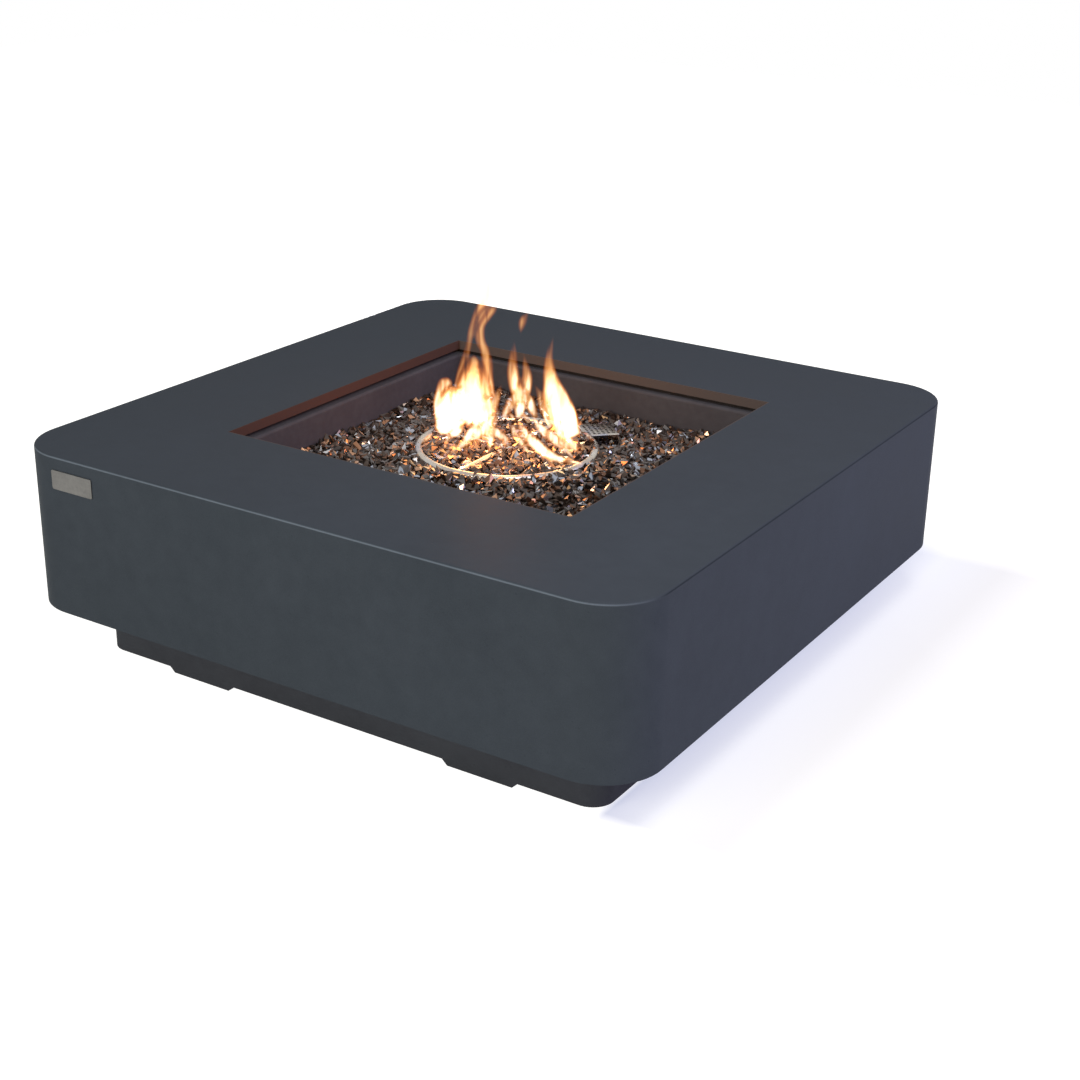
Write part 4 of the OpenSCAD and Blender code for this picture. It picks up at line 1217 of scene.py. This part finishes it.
    def strewn(self, wiring: Wiring, given: Any) -> bpy.types.NodeSocket:
        """Strews the chips over the surface, each with its size, turn and tone.

        Args:
            wiring: The tree.
            given: The tree's inputs, by name.

        Returns:
            The socket of the chips, as instances.
        """
        seed = given["Seed"]
        points = wiring.add("GeometryNodeDistributePointsOnFaces", {
            "Mesh": given["Surface"], "Distance Min": given["Spacing"], "Density Max": self.most_per_area,
            "Seed": seed}, distribute_method="POISSON")
        sizes = wiring.add("ShaderNodeCombineXYZ", {
            0: self.chance(wiring, seed, *self.lengths, Draw.LENGTH.value),
            1: self.chance(wiring, seed, *self.widths, Draw.WIDTH.value),
            2: self.chance(wiring, seed, given["Thinnest"], self.thickest, Draw.THICKNESS.value)})
        large = self.chance(wiring, seed, 0.0, 1.0, Draw.SIZE.value)
        spread = wiring.maths("POWER", large, self.large_rarity)
        share = wiring.maths("MULTIPLY_ADD", spread, self.size_range, self.smallest)
        scale = wiring.scaled(sizes.outputs[0], wiring.maths("MULTIPLY", given["Chip"], share))
        turns = ((-self.tilt, -self.tilt, 0.0), (self.tilt, self.tilt, math.tau))
        turn = self.chance(wiring, seed, *turns, Draw.TURN.value, "FLOAT_VECTOR")
        chips = wiring.add("GeometryNodeInstanceOnPoints", {
            "Points": points.outputs["Points"], "Instance": self.chip_shapes(wiring, seed),
            "Pick Instance": True, "Scale": scale,
            "Instance Index": self.chance(wiring, seed, 0, self.kinds - 1, Draw.KIND.value, "INT"),
            "Rotation": wiring.add("FunctionNodeEulerToRotation", {0: turn}).outputs[0]})
        toned = wiring.add("GeometryNodeStoreNamedAttribute", {
            "Geometry": chips.outputs[0], "Name": self.tone_name,
            "Value": self.chance(wiring, seed, 0.0, 1.0, Draw.TONE.value)},
            data_type="FLOAT", domain="INSTANCE")
        return toned.outputs[0]

    def scatter_tree(self) -> bpy.types.NodeTree:
        """Builds the tree that turns a surface into chips, with a coat for each facet.

        Returns:
            The tree, with inputs for chip size, thinnest share, spacing, seed and material.
        """
        wiring = Wiring(bpy.data.node_groups.new("strewn_glass", "GeometryNodeTree"))
        given = wiring.sockets(self.strewing(), {"Chips": Socket.SHAPE})
        real = wiring.add("GeometryNodeRealizeInstances", {0: self.strewn(wiring, given)})
        flat = wiring.add("GeometryNodeSetShadeSmooth", {"Geometry": real.outputs[0], "Shade Smooth": False})
        coats = wiring.add("GeometryNodeStoreNamedAttribute", {
            "Geometry": flat.outputs[0], "Name": self.facet_name,
            "Value": self.chance(wiring, given["Seed"], 0.0, 1.0, Draw.FACET.value)},
            data_type="FLOAT", domain="FACE")
        dressed = wiring.add("GeometryNodeSetMaterial", {
            "Geometry": coats.outputs[0], "Material": given["Material"]})
        wiring.add("NodeGroupOutput", {0: dressed.outputs[0]})
        return wiring.tree

    def build(self) -> None:
        """Strews the chips, and lays a dark surface under them."""
        chips = self.surface("fire_glass_chips", self.sink)
        strew = chips.modifiers.new("strewn glass", "NODES")
        strew.node_group = self.scatter_tree()
        items = strew.node_group.interface.items_tree
        keys = {item.name: item.identifier for item in items if item.in_out == "INPUT"}
        for name, (_, value) in self.strewing().items():
            if value is not None:
                strew[keys[name]] = value
        Workshop.settle(chips)
        Workshop.place(chips, None, Body.TABLE, "fire_glass", "glass_bed")
        shade = Workshop.smooth(self.surface("fire_glass_shade", self.shade_drop), self.shade_angle)
        Workshop.place(shade, Palette.BED, Body.TABLE, "fire_glass")


@dataclass
class FireBowl:
    """The pan, what holds it, and the burner in it."""

    FINISHES: ClassVar[dict[str, Finish]] = {
        "burner_pan": Palette.PAN, "pan_gasket": Palette.FIBRE, "pan_studs": Palette.ZINC,
        "pan_washers": Palette.ZINC, "pan_nuts": Palette.ZINC, "burner_ring": Palette.BURNER,
        "inlet_nipple": Palette.PIPE, "burner_locknuts": Palette.BRASS, "air_mixer": Palette.BRASS,
        "air_shutter": Palette.SHUTTER, "gas_orifice": Palette.BRASS, "elbow_fitting": Palette.BRASS,
        "gas_tube": Palette.COPPER, "tube_nuts": Palette.BRASS, "hood_screws": Palette.ZINC,
        "electrode_ceramic": Palette.CERAMIC, "electrode_rod": Palette.BRIGHT_STEEL,
        "electrode_nut": Palette.ZINC, "thermocouple": Palette.COPPER, "thermocouple_nuts": Palette.BRASS,
        "thermocouple_lead": Palette.COPPER, "ignition_lead": Palette.RUBBER,
    }

    def build(self) -> None:
        """Dresses the bowl's CAD pieces and fills it with glass."""
        Workshop.dress(self.FINISHES)
        hood = IgniterHood()
        hood.build()
        GlassBed(hood).build()


@dataclass
class ControlPanel:
    """The niche at the back, with the knob, the valve behind it and the igniter."""

    FINISHES: ClassVar[dict[str, Finish]] = {
        "gas_valve": Palette.BRASS, "valve_plug": Palette.BRASS, "safety_plunger": Palette.BRIGHT_STEEL,
        "valve_stem": Palette.BRIGHT_STEEL, "panel_nut": Palette.BRASS, "gas_inlet": Palette.BRASS,
        "niche_screws": Palette.ZINC, "igniter_module": Palette.MODULE, "igniter_nut": Palette.MODULE,
        "knob_pointer": Palette.POINTER,
    }
    SPRINGS: ClassVar[dict[str, tuple[str, float]]] = {
        "plunger_spring": ("knob_push", 3.0 * MM), "button_spring": ("igniter_press", 4.0 * MM)}
    knob_edge: float = 0.9 * MM
    button_edge: float = 0.5 * MM
    touched_steps: int = 3
    niche_edge: float = 0.35 * MM
    band: float = 12.0 * MM

    def build(self) -> None:
        """Dresses the CAD pieces, and rounds the edges of those that are touched."""
        cap_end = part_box("igniter_battery")[1].y
        sleeve = SleeveFinish("battery_sleeve", cap_end - self.band)
        Workshop.dress({**self.FINISHES, "igniter_battery": sleeve})
        niche = Workshop.softened("control_niche", self.niche_edge)
        Workshop.place(niche, Palette.NICHE, Body.TABLE, "niche_stainless", "control_niche")
        knob = Workshop.softened("control_knob", self.knob_edge, self.touched_steps)
        Workshop.place(knob, Palette.KNOB, Body.KNOB, "knob_plastic", "control_knob")
        button = Workshop.softened("igniter_button", self.button_edge, self.touched_steps)
        Workshop.place(button, Palette.BUTTON, Body.BUTTON, "button_plastic", "igniter_button")
        for node, (joint, travel) in self.SPRINGS.items():
            self.spring(node, joint, travel)

    @staticmethod
    def spring(node: str, joint: str, travel: float) -> None:
        """Copies a coil spring and gives the copy its steel.

        Args:
            node: The CAD node's name.
            joint: The sliding joint that presses it; not used.
            travel: How far the joint slides; not used.
        """
        coil = Workshop.link(f"{node}_finished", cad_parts[node].data.copy())
        Workshop.place(coil, Palette.BRIGHT_STEEL, Body.TABLE, "valve_steel", node)
        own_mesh(coil)


@dataclass
class Badge:
    """The bare plate on the front."""

    edge: float = 0.5 * MM
    edge_steps: int = 3

    def build(self) -> None:
        """Rounds the plate's edges and brushes it."""
        plate = Workshop.softened("badge_plate", self.edge, self.edge_steps)
        Workshop.place(plate, Palette.BADGE, Body.TABLE, "badge_metal", "badge_plate")


@dataclass(frozen=True)
class Tongue:
    """One tongue of flame, from its foot to its tip: across, up and width in millimetres."""

    path: Sequence[Point]
    foot_depth: float = 0.0
    tip_depth: float = 0.0


@dataclass
class Flames:
    """Burning gas over the burner, which is no piece of the table."""

    ACROSS: ClassVar[Vector] = Vector((0.847, 0.531, 0.0))
    AWAY: ClassVar[Vector] = Vector((-0.531, 0.847, 0.0))
    UP: ClassVar[Vector] = Vector((0.0, 0.0, 1.0))
    # A way that no tongue follows
    SKEW: ClassVar[Vector] = Vector((0.3, 0.2, 0.05))
    TALL: ClassVar[tuple[Tongue, ...]] = (
        Tongue(((-75, 376, 18), (-72, 410, 14), (-68, 434, 11), (-62, 459, 8), (-57, 484, 9), (-49, 505, 12),
                (-40, 524, 15), (-33, 545, 14), (-31, 570, 12), (-34, 597, 8), (-41, 616, 0)), 10, 10),
        Tongue(((-39, 379, 30), (-36, 410, 21), (-33, 434, 15), (-36, 453, 12), (-43, 471, 12),
                (-43, 493, 12), (-34, 511, 14), (-22, 521, 9), (-16, 527, 0)), 10, 10),
        Tongue(((-57, 340, 46), (-55, 370, 46), (-54, 392, 40), (-53, 419, 27), (-53, 441, 11),
                (-53, 448, 0)), 0, 10),
        Tongue(((-106, 336, 15), (-104, 364, 20), (-101, 385, 18), (-97, 401, 15), (-96, 408, 0)), 20, 20),
        Tongue(((101, 314, 24), (92, 338, 33), (83, 360, 33), (74, 384, 29), (69, 403, 21), (65, 424, 15),
                (64, 445, 10), (67, 464, 6), (71, 481, 0)), 10, 10),
    )
    MIDDLE: ClassVar[tuple[Tongue, ...]] = (
        Tongue(((17, 330, 8), (19, 350, 15), (18, 370, 19), (10, 391, 16), (7, 414, 14), (8, 440, 9),
                (9, 463, 0)), 50, 50),
        Tongue(((22, 358, 13), (26, 380, 17), (30, 400, 13), (27, 421, 8), (24, 440, 0)), 50, 50),
        Tongue(((-7, 332, 7), (-1, 346, 11), (8, 362, 12), (14, 382, 0)), 45, 50),
        Tongue(((46, 332, 6), (40, 346, 11), (32, 364, 12), (25, 382, 0)), 45, 50),
        Tongue(((19, 472, 0), (20, 484, 8), (23, 496, 10), (30, 509, 3), (31, 513, 0)), 40, 40),
        Tongue(((84, 320, 9), (70, 340, 12), (58, 365, 12), (51, 388, 9), (41, 405, 0)), 0, 0),
    )
    LOW: ClassVar[tuple[Tongue, ...]] = (
        Tongue(((-109, 321, 12), (-91, 345, 36), (-78, 370, 40), (-66, 385, 30), (-63, 400, 0)), 0, 10),
        Tongue(((-97, 308, 4), (-91, 322, 9), (-78, 336, 18), (-70, 350, 0)), -40, 0),
        Tongue(((-75, 310, 6), (-57, 327, 15), (-39, 345, 21), (-27, 367, 15), (-14, 395, 7),
                (-8, 409, 0)), -45, -10),
        Tongue(((-36, 322, 9), (-24, 352, 11), (-16, 378, 8), (-7, 400, 0)), -15, -5),
        Tongue(((-26, 310, 6), (-27, 328, 12), (-33, 348, 0)), -45, -10),
        Tongue(((-63, 309, 4), (-48, 326, 12), (-30, 342, 18), (-15, 361, 6), (-10, 372, 0)), -50, -15),
        Tongue(((-11, 311, 4), (-2, 323, 9), (-15, 333, 12), (-27, 338, 8), (-40, 350, 0)), -40, -20),
        Tongue(((36, 309, 5), (24, 323, 10), (14, 338, 11), (5, 354, 0)), -55, -30),
        Tongue(((119, 306, 5), (80, 309, 11), (58, 316, 14), (40, 328, 14), (25, 341, 11),
                (17, 355, 0)), -90, -20),
        Tongue(((113, 314, 7), (86, 321, 13), (65, 332, 13), (49, 343, 10), (40, 357, 0)), -50, -10),
        Tongue(((119, 309, 4), (95, 321, 12), (80, 336, 12), (71, 356, 0)), -30, 0),
    )
    swell: float = 1.45
    sides: int = 12
    steps: int = 6
    thinnest: float = 0.6 * MM
    voxel: float = 1.4 * MM
    soft: float = 5.5 * MM

    # Points of a small flame, as shares of its lean, sway, height and half width
    LICK: ClassVar[tuple[tuple[float, float, float, float], ...]] = (
        (0.0, 0.0, 0.0, 1.0 / 3.0), (0.3, 0.6, 0.3, 1.0), (0.7, 1.0, 0.65, 0.8), (1.0, 0.0, 1.0, 0.0))
    licks: int = 18
    seed: int = 5
    lick_drop: float = 2.0 * MM
    lick_jitter: float = 0.3
    lick_sway: float = 10.0 * MM
    lick_heights: Span = (16.0 * MM, 38.0 * MM)
    lick_halves: Span = (2.5 * MM, 5.0 * MM)
    lick_insets: Span = (7.0 * MM, 30.0 * MM)
    lick_leans: Span = (0.6, 1.2)

    GLOW: ClassVar[Colour] = (1.0, 0.36, 0.1)
    # Across and up in millimetres, and power in watts
    LAMPS: ClassVar[tuple[Point, ...]] = (
        (-50.0, 332.0, 0.44), (55.0, 332.0, 0.16), (-20.0, 480.0, 0.95))
    lamp_radius: float = 35.0 * MM
    lamp_gloss: float = 0.4
    down_light: float = 5.0
    down_from: float = 0.5
    down_cone: float = math.radians(74.0)
    down_blend: float = 0.7

    def build(self) -> None:
        """Lofts the tongues, fills them with glowing gas, and lights the bowl."""
        shape = bmesh.new()
        drawn = [self.placed(tongue) for tongue in self.TALL + self.MIDDLE + self.LOW]
        paths = drawn + self.ring_licks()
        for path in paths:
            self.loft(shape, path)
        bmesh.ops.recalc_face_normals(shape, faces=shape.faces)
        outline = Workshop.from_bmesh("flame_outline", shape)
        outline.hide_render = True
        self.gas(outline)
        LOG.info("staged the flames: %d tongues", len(paths))
        for across, up, power in self.LAMPS:
            self.glow("flame_glow", "POINT", (self.ACROSS * across + self.UP * up) * MM, power)
        down = self.glow("flame_down", "SPOT", self.UP * self.down_from, self.down_light)
        down.spot_size = self.down_cone
        down.spot_blend = self.down_blend

    def gas(self, outline: bpy.types.Object) -> bpy.types.Object:
        """Fills the tongues with glowing gas that lights and shades nothing.

        Args:
            outline: The tongues.

        Returns:
            The gas.
        """
        gas = Workshop.link("flame_gas", bpy.data.volumes.new("flame_gas"))
        fill = gas.modifiers.new("burning gas", "MESH_TO_VOLUME")
        fill.object = outline
        fill.resolution_mode = "VOXEL_SIZE"
        fill.voxel_size = self.voxel
        fill.interior_band_width = self.soft
        fill.density = 1.0
        gas.data.materials.append(FlameFinish("flame_gas").material())
        gas.visible_shadow = False
        gas.visible_diffuse = False
        return gas

    def glow(self, name: str, kind: str, place: Vector, power: float) -> bpy.types.Light:
        """Hangs a lamp in the fire's colour.

        Args:
            name: Name of the lamp.
            kind: Blender's name of the lamp's type.
            place: Where it hangs.
            power: Power in watts.

        Returns:
            The lamp.
        """
        lamp = bpy.data.lights.new(name, kind)
        lamp.color = self.GLOW
        lamp.energy = power
        lamp.shadow_soft_size = self.lamp_radius
        lamp.specular_factor = self.lamp_gloss
        Workshop.link(name, lamp).location = place
        return lamp

    def placed(self, tongue: Tongue) -> Path:
        """Stands a tongue in the table's frame.

        Args:
            tongue: The tongue.

        Returns:
            Its points with half widths, in metres.
        """
        last = len(tongue.path) - 1
        points = []
        for k, (across, up, width) in enumerate(tongue.path):
            depth = tongue.foot_depth + (tongue.tip_depth - tongue.foot_depth) * k / last
            spot = self.ACROSS * across + self.AWAY * depth + self.UP * up
            points.append((spot * MM, self.swell * width * MM / 2))
        return points

    def ring_licks(self) -> list[Path]:
        """Makes small flames that lean in from the burner's ports.

        Returns:
            The paths of the small flames.
        """
        dice = random.Random(self.seed)
        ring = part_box("burner_ring")[1]
        paths = []
        for k in range(self.licks):
            turn = math.tau * (k + dice.uniform(-self.lick_jitter, self.lick_jitter)) / self.licks
            way = Vector((math.cos(turn), math.sin(turn), 0.0))
            side = Vector((-way.y, way.x, 0.0)) * dice.uniform(-self.lick_sway, self.lick_sway)
            tall = self.UP * dice.uniform(*self.lick_heights)
            half = dice.uniform(*self.lick_halves)
            foot = way * (ring.x - dice.uniform(*self.lick_insets)) + self.UP * (ring.z - self.lick_drop)
            lean = -way * tall.z * dice.uniform(*self.lick_leans)
            paths.append([(foot + lean * leant + side * swayed + tall * risen, half * width)
                          for leant, swayed, risen, width in self.LICK])
        return paths

    def loft(self, shape: bmesh.types.BMesh, path: Path) -> None:
        """Adds a closed tube along a path.

        Args:
            shape: The mesh to add to.
            path: Points with half widths.
        """
        fine = self.curve(path)
        rings = []
        for i, (centre, half) in enumerate(fine):
            way = (fine[min(i + 1, len(fine) - 1)][0] - fine[max(i - 1, 0)][0]).normalized()
            u = way.cross(self.SKEW).normalized()
            v = way.cross(u)
            r = max(half, self.thinnest)
            rings.append([shape.verts.new(centre + r * (math.cos(a) * u + math.sin(a) * v))
                          for a in (math.tau * k / self.sides for k in range(self.sides))])
        for first, second in zip(rings, rings[1:]):
            for k in range(self.sides):
                n = (k + 1) % self.sides
                shape.faces.new((first[k], second[k], second[n], first[n]))
        shape.faces.new(rings[0])
        shape.faces.new(reversed(rings[-1]))

    def curve(self, path: Path) -> Path:
        """Fits a smooth curve, a Catmull-Rom spline, through a path's points and widths.

        Args:
            path: Points with half widths.

        Returns:
            Finer points with half widths.
        """
        fine = []
        for i in range(len(path) - 1):
            near = [path[max(i - 1, 0)], path[i], path[i + 1], path[min(i + 2, len(path) - 1)]]
            for k in range(self.steps):
                t = k / self.steps
                weights = (-0.5 * t + t * t - 0.5 * t ** 3, 1 - 2.5 * t * t + 1.5 * t ** 3,
                           0.5 * t + 2 * t * t - 1.5 * t ** 3, -0.5 * t * t + 0.5 * t ** 3)
                place = sum((w * point for w, (point, _) in zip(weights, near)), Vector((0.0, 0.0, 0.0)))
                fine.append((place, sum(w * half for w, (_, half) in zip(weights, near))))
        return fine + [path[-1]]


@dataclass(frozen=True)
class SoftLamp:
    """A soft square lamp: its place, the side of its face, its power in watts and its colour."""

    name: str
    place: Point
    size: float
    power: float
    colour: Colour

    def hang(self, aim: Vector) -> None:
        """Hangs the lamp, turned to what it lights.

        Args:
            aim: The point that it lights.
        """
        light = bpy.data.lights.new(self.name, "AREA")
        light.size = self.size
        light.energy = self.power
        light.color = self.colour
        hung = Workshop.link(self.name, light)
        hung.location = self.place
        hung.rotation_euler = (aim - Vector(self.place)).to_track_quat("-Z", "Y").to_euler()


@dataclass
class Studio:
    """Camera, floor and plain soft light."""

    LAMPS: ClassVar[tuple[SoftLamp, ...]] = (
        SoftLamp("key", (-0.4, -3.9, 1.5), 1.8, 72.0, (1.0, 0.98, 0.95)),
        SoftLamp("top", (1.2, -0.8, 2.4), 0.8, 25.0, (0.97, 0.98, 1.0)),
        SoftLamp("fill", (2.6, 0.7, 1.7), 1.4, 43.0, (0.75, 0.66, 1.0)),
        SoftLamp("rear", (-2.4, 2.8, 0.17), 0.3, 70.0, (0.95, 0.97, 1.0)))
    aim: Point = (0.0, 0.0, 0.25)
    azimuth: float = math.radians(32.104)
    elevation: float = math.radians(22.478)
    roll: float = math.radians(-1.035)
    place: Point = (1.4749, -2.2471, 1.2532)
    lens: float = 60.02
    sensor: float = 36.0
    floor_half: float = 6.0
    ambient: float = 0.26
    ambient_colour: Colour = (0.94, 0.97, 1.0)

    def build(self) -> None:
        """Sets the camera, the floor, the world and the lamps."""
        bpy.context.scene.view_settings.view_transform = "Standard"
        self.camera()
        self.floor()
        self.world()
        for lamp in self.LAMPS:
            lamp.hang(Vector(self.aim))

    def camera(self) -> None:
        """Stands the camera where the photograph was taken."""
        a, e, r = self.azimuth, self.elevation, self.roll
        back = Vector((math.sin(a) * math.cos(e), -math.cos(a) * math.cos(e), math.sin(e)))
        level = Vector((math.cos(a), math.sin(a), 0.0))
        down = (-back).cross(level)
        right = level * math.cos(r) + down * math.sin(r)
        low = down * math.cos(r) - level * math.sin(r)
        optics = bpy.data.cameras.new("camera")
        optics.sensor_width = self.sensor
        optics.lens = self.lens
        viewer = Workshop.link("camera", optics)
        turn = Matrix((right, -low, back)).transposed().to_4x4()
        viewer.matrix_world = Matrix.Translation(Vector(self.place)) @ turn
        bpy.context.scene.camera = viewer

    def floor(self) -> None:
        """Lays the white floor."""
        shape = bmesh.new()
        signs = ((-1, -1), (1, -1), (1, 1), (-1, 1))
        shape.faces.new([shape.verts.new((x * self.floor_half, y * self.floor_half, 0.0)) for x, y in signs])
        ground = Workshop.from_bmesh("floor", shape)
        ground.data.materials.append(Palette.FLOOR.material())

    def world(self) -> None:
        """Makes a white surround, with softer light on the table."""
        sky = bpy.data.worlds.new("studio")
        sky.use_nodes = True
        sky.node_tree.nodes.clear()
        wiring = Wiring(sky.node_tree)
        soft, white = (wiring.add("ShaderNodeBackground", {"Color": rgba(colour), "Strength": strength})
                       for colour, strength in ((self.ambient_colour, self.ambient), (WHITE, 1.0)))
        both = {0: wiring.seen(), 1: soft.outputs[0], 2: white.outputs[0]}
        mixed = wiring.add("ShaderNodeMixShader", both)
        wiring.add("ShaderNodeOutputWorld", {"Surface": mixed.outputs[0]})
        bpy.context.scene.world = sky


def main() -> None:
    """Builds the studio and each sub-assembly in order."""
    logging.basicConfig(level=logging.INFO, format="%(name)s: %(message)s")
    for assembly in (Studio(), ConcreteBody(), FireBowl(), ControlPanel(), Badge(), Flames()):
        LOG.info("building %s", type(assembly).__name__)
        assembly.build()


if __name__ == "__main__":
    main()
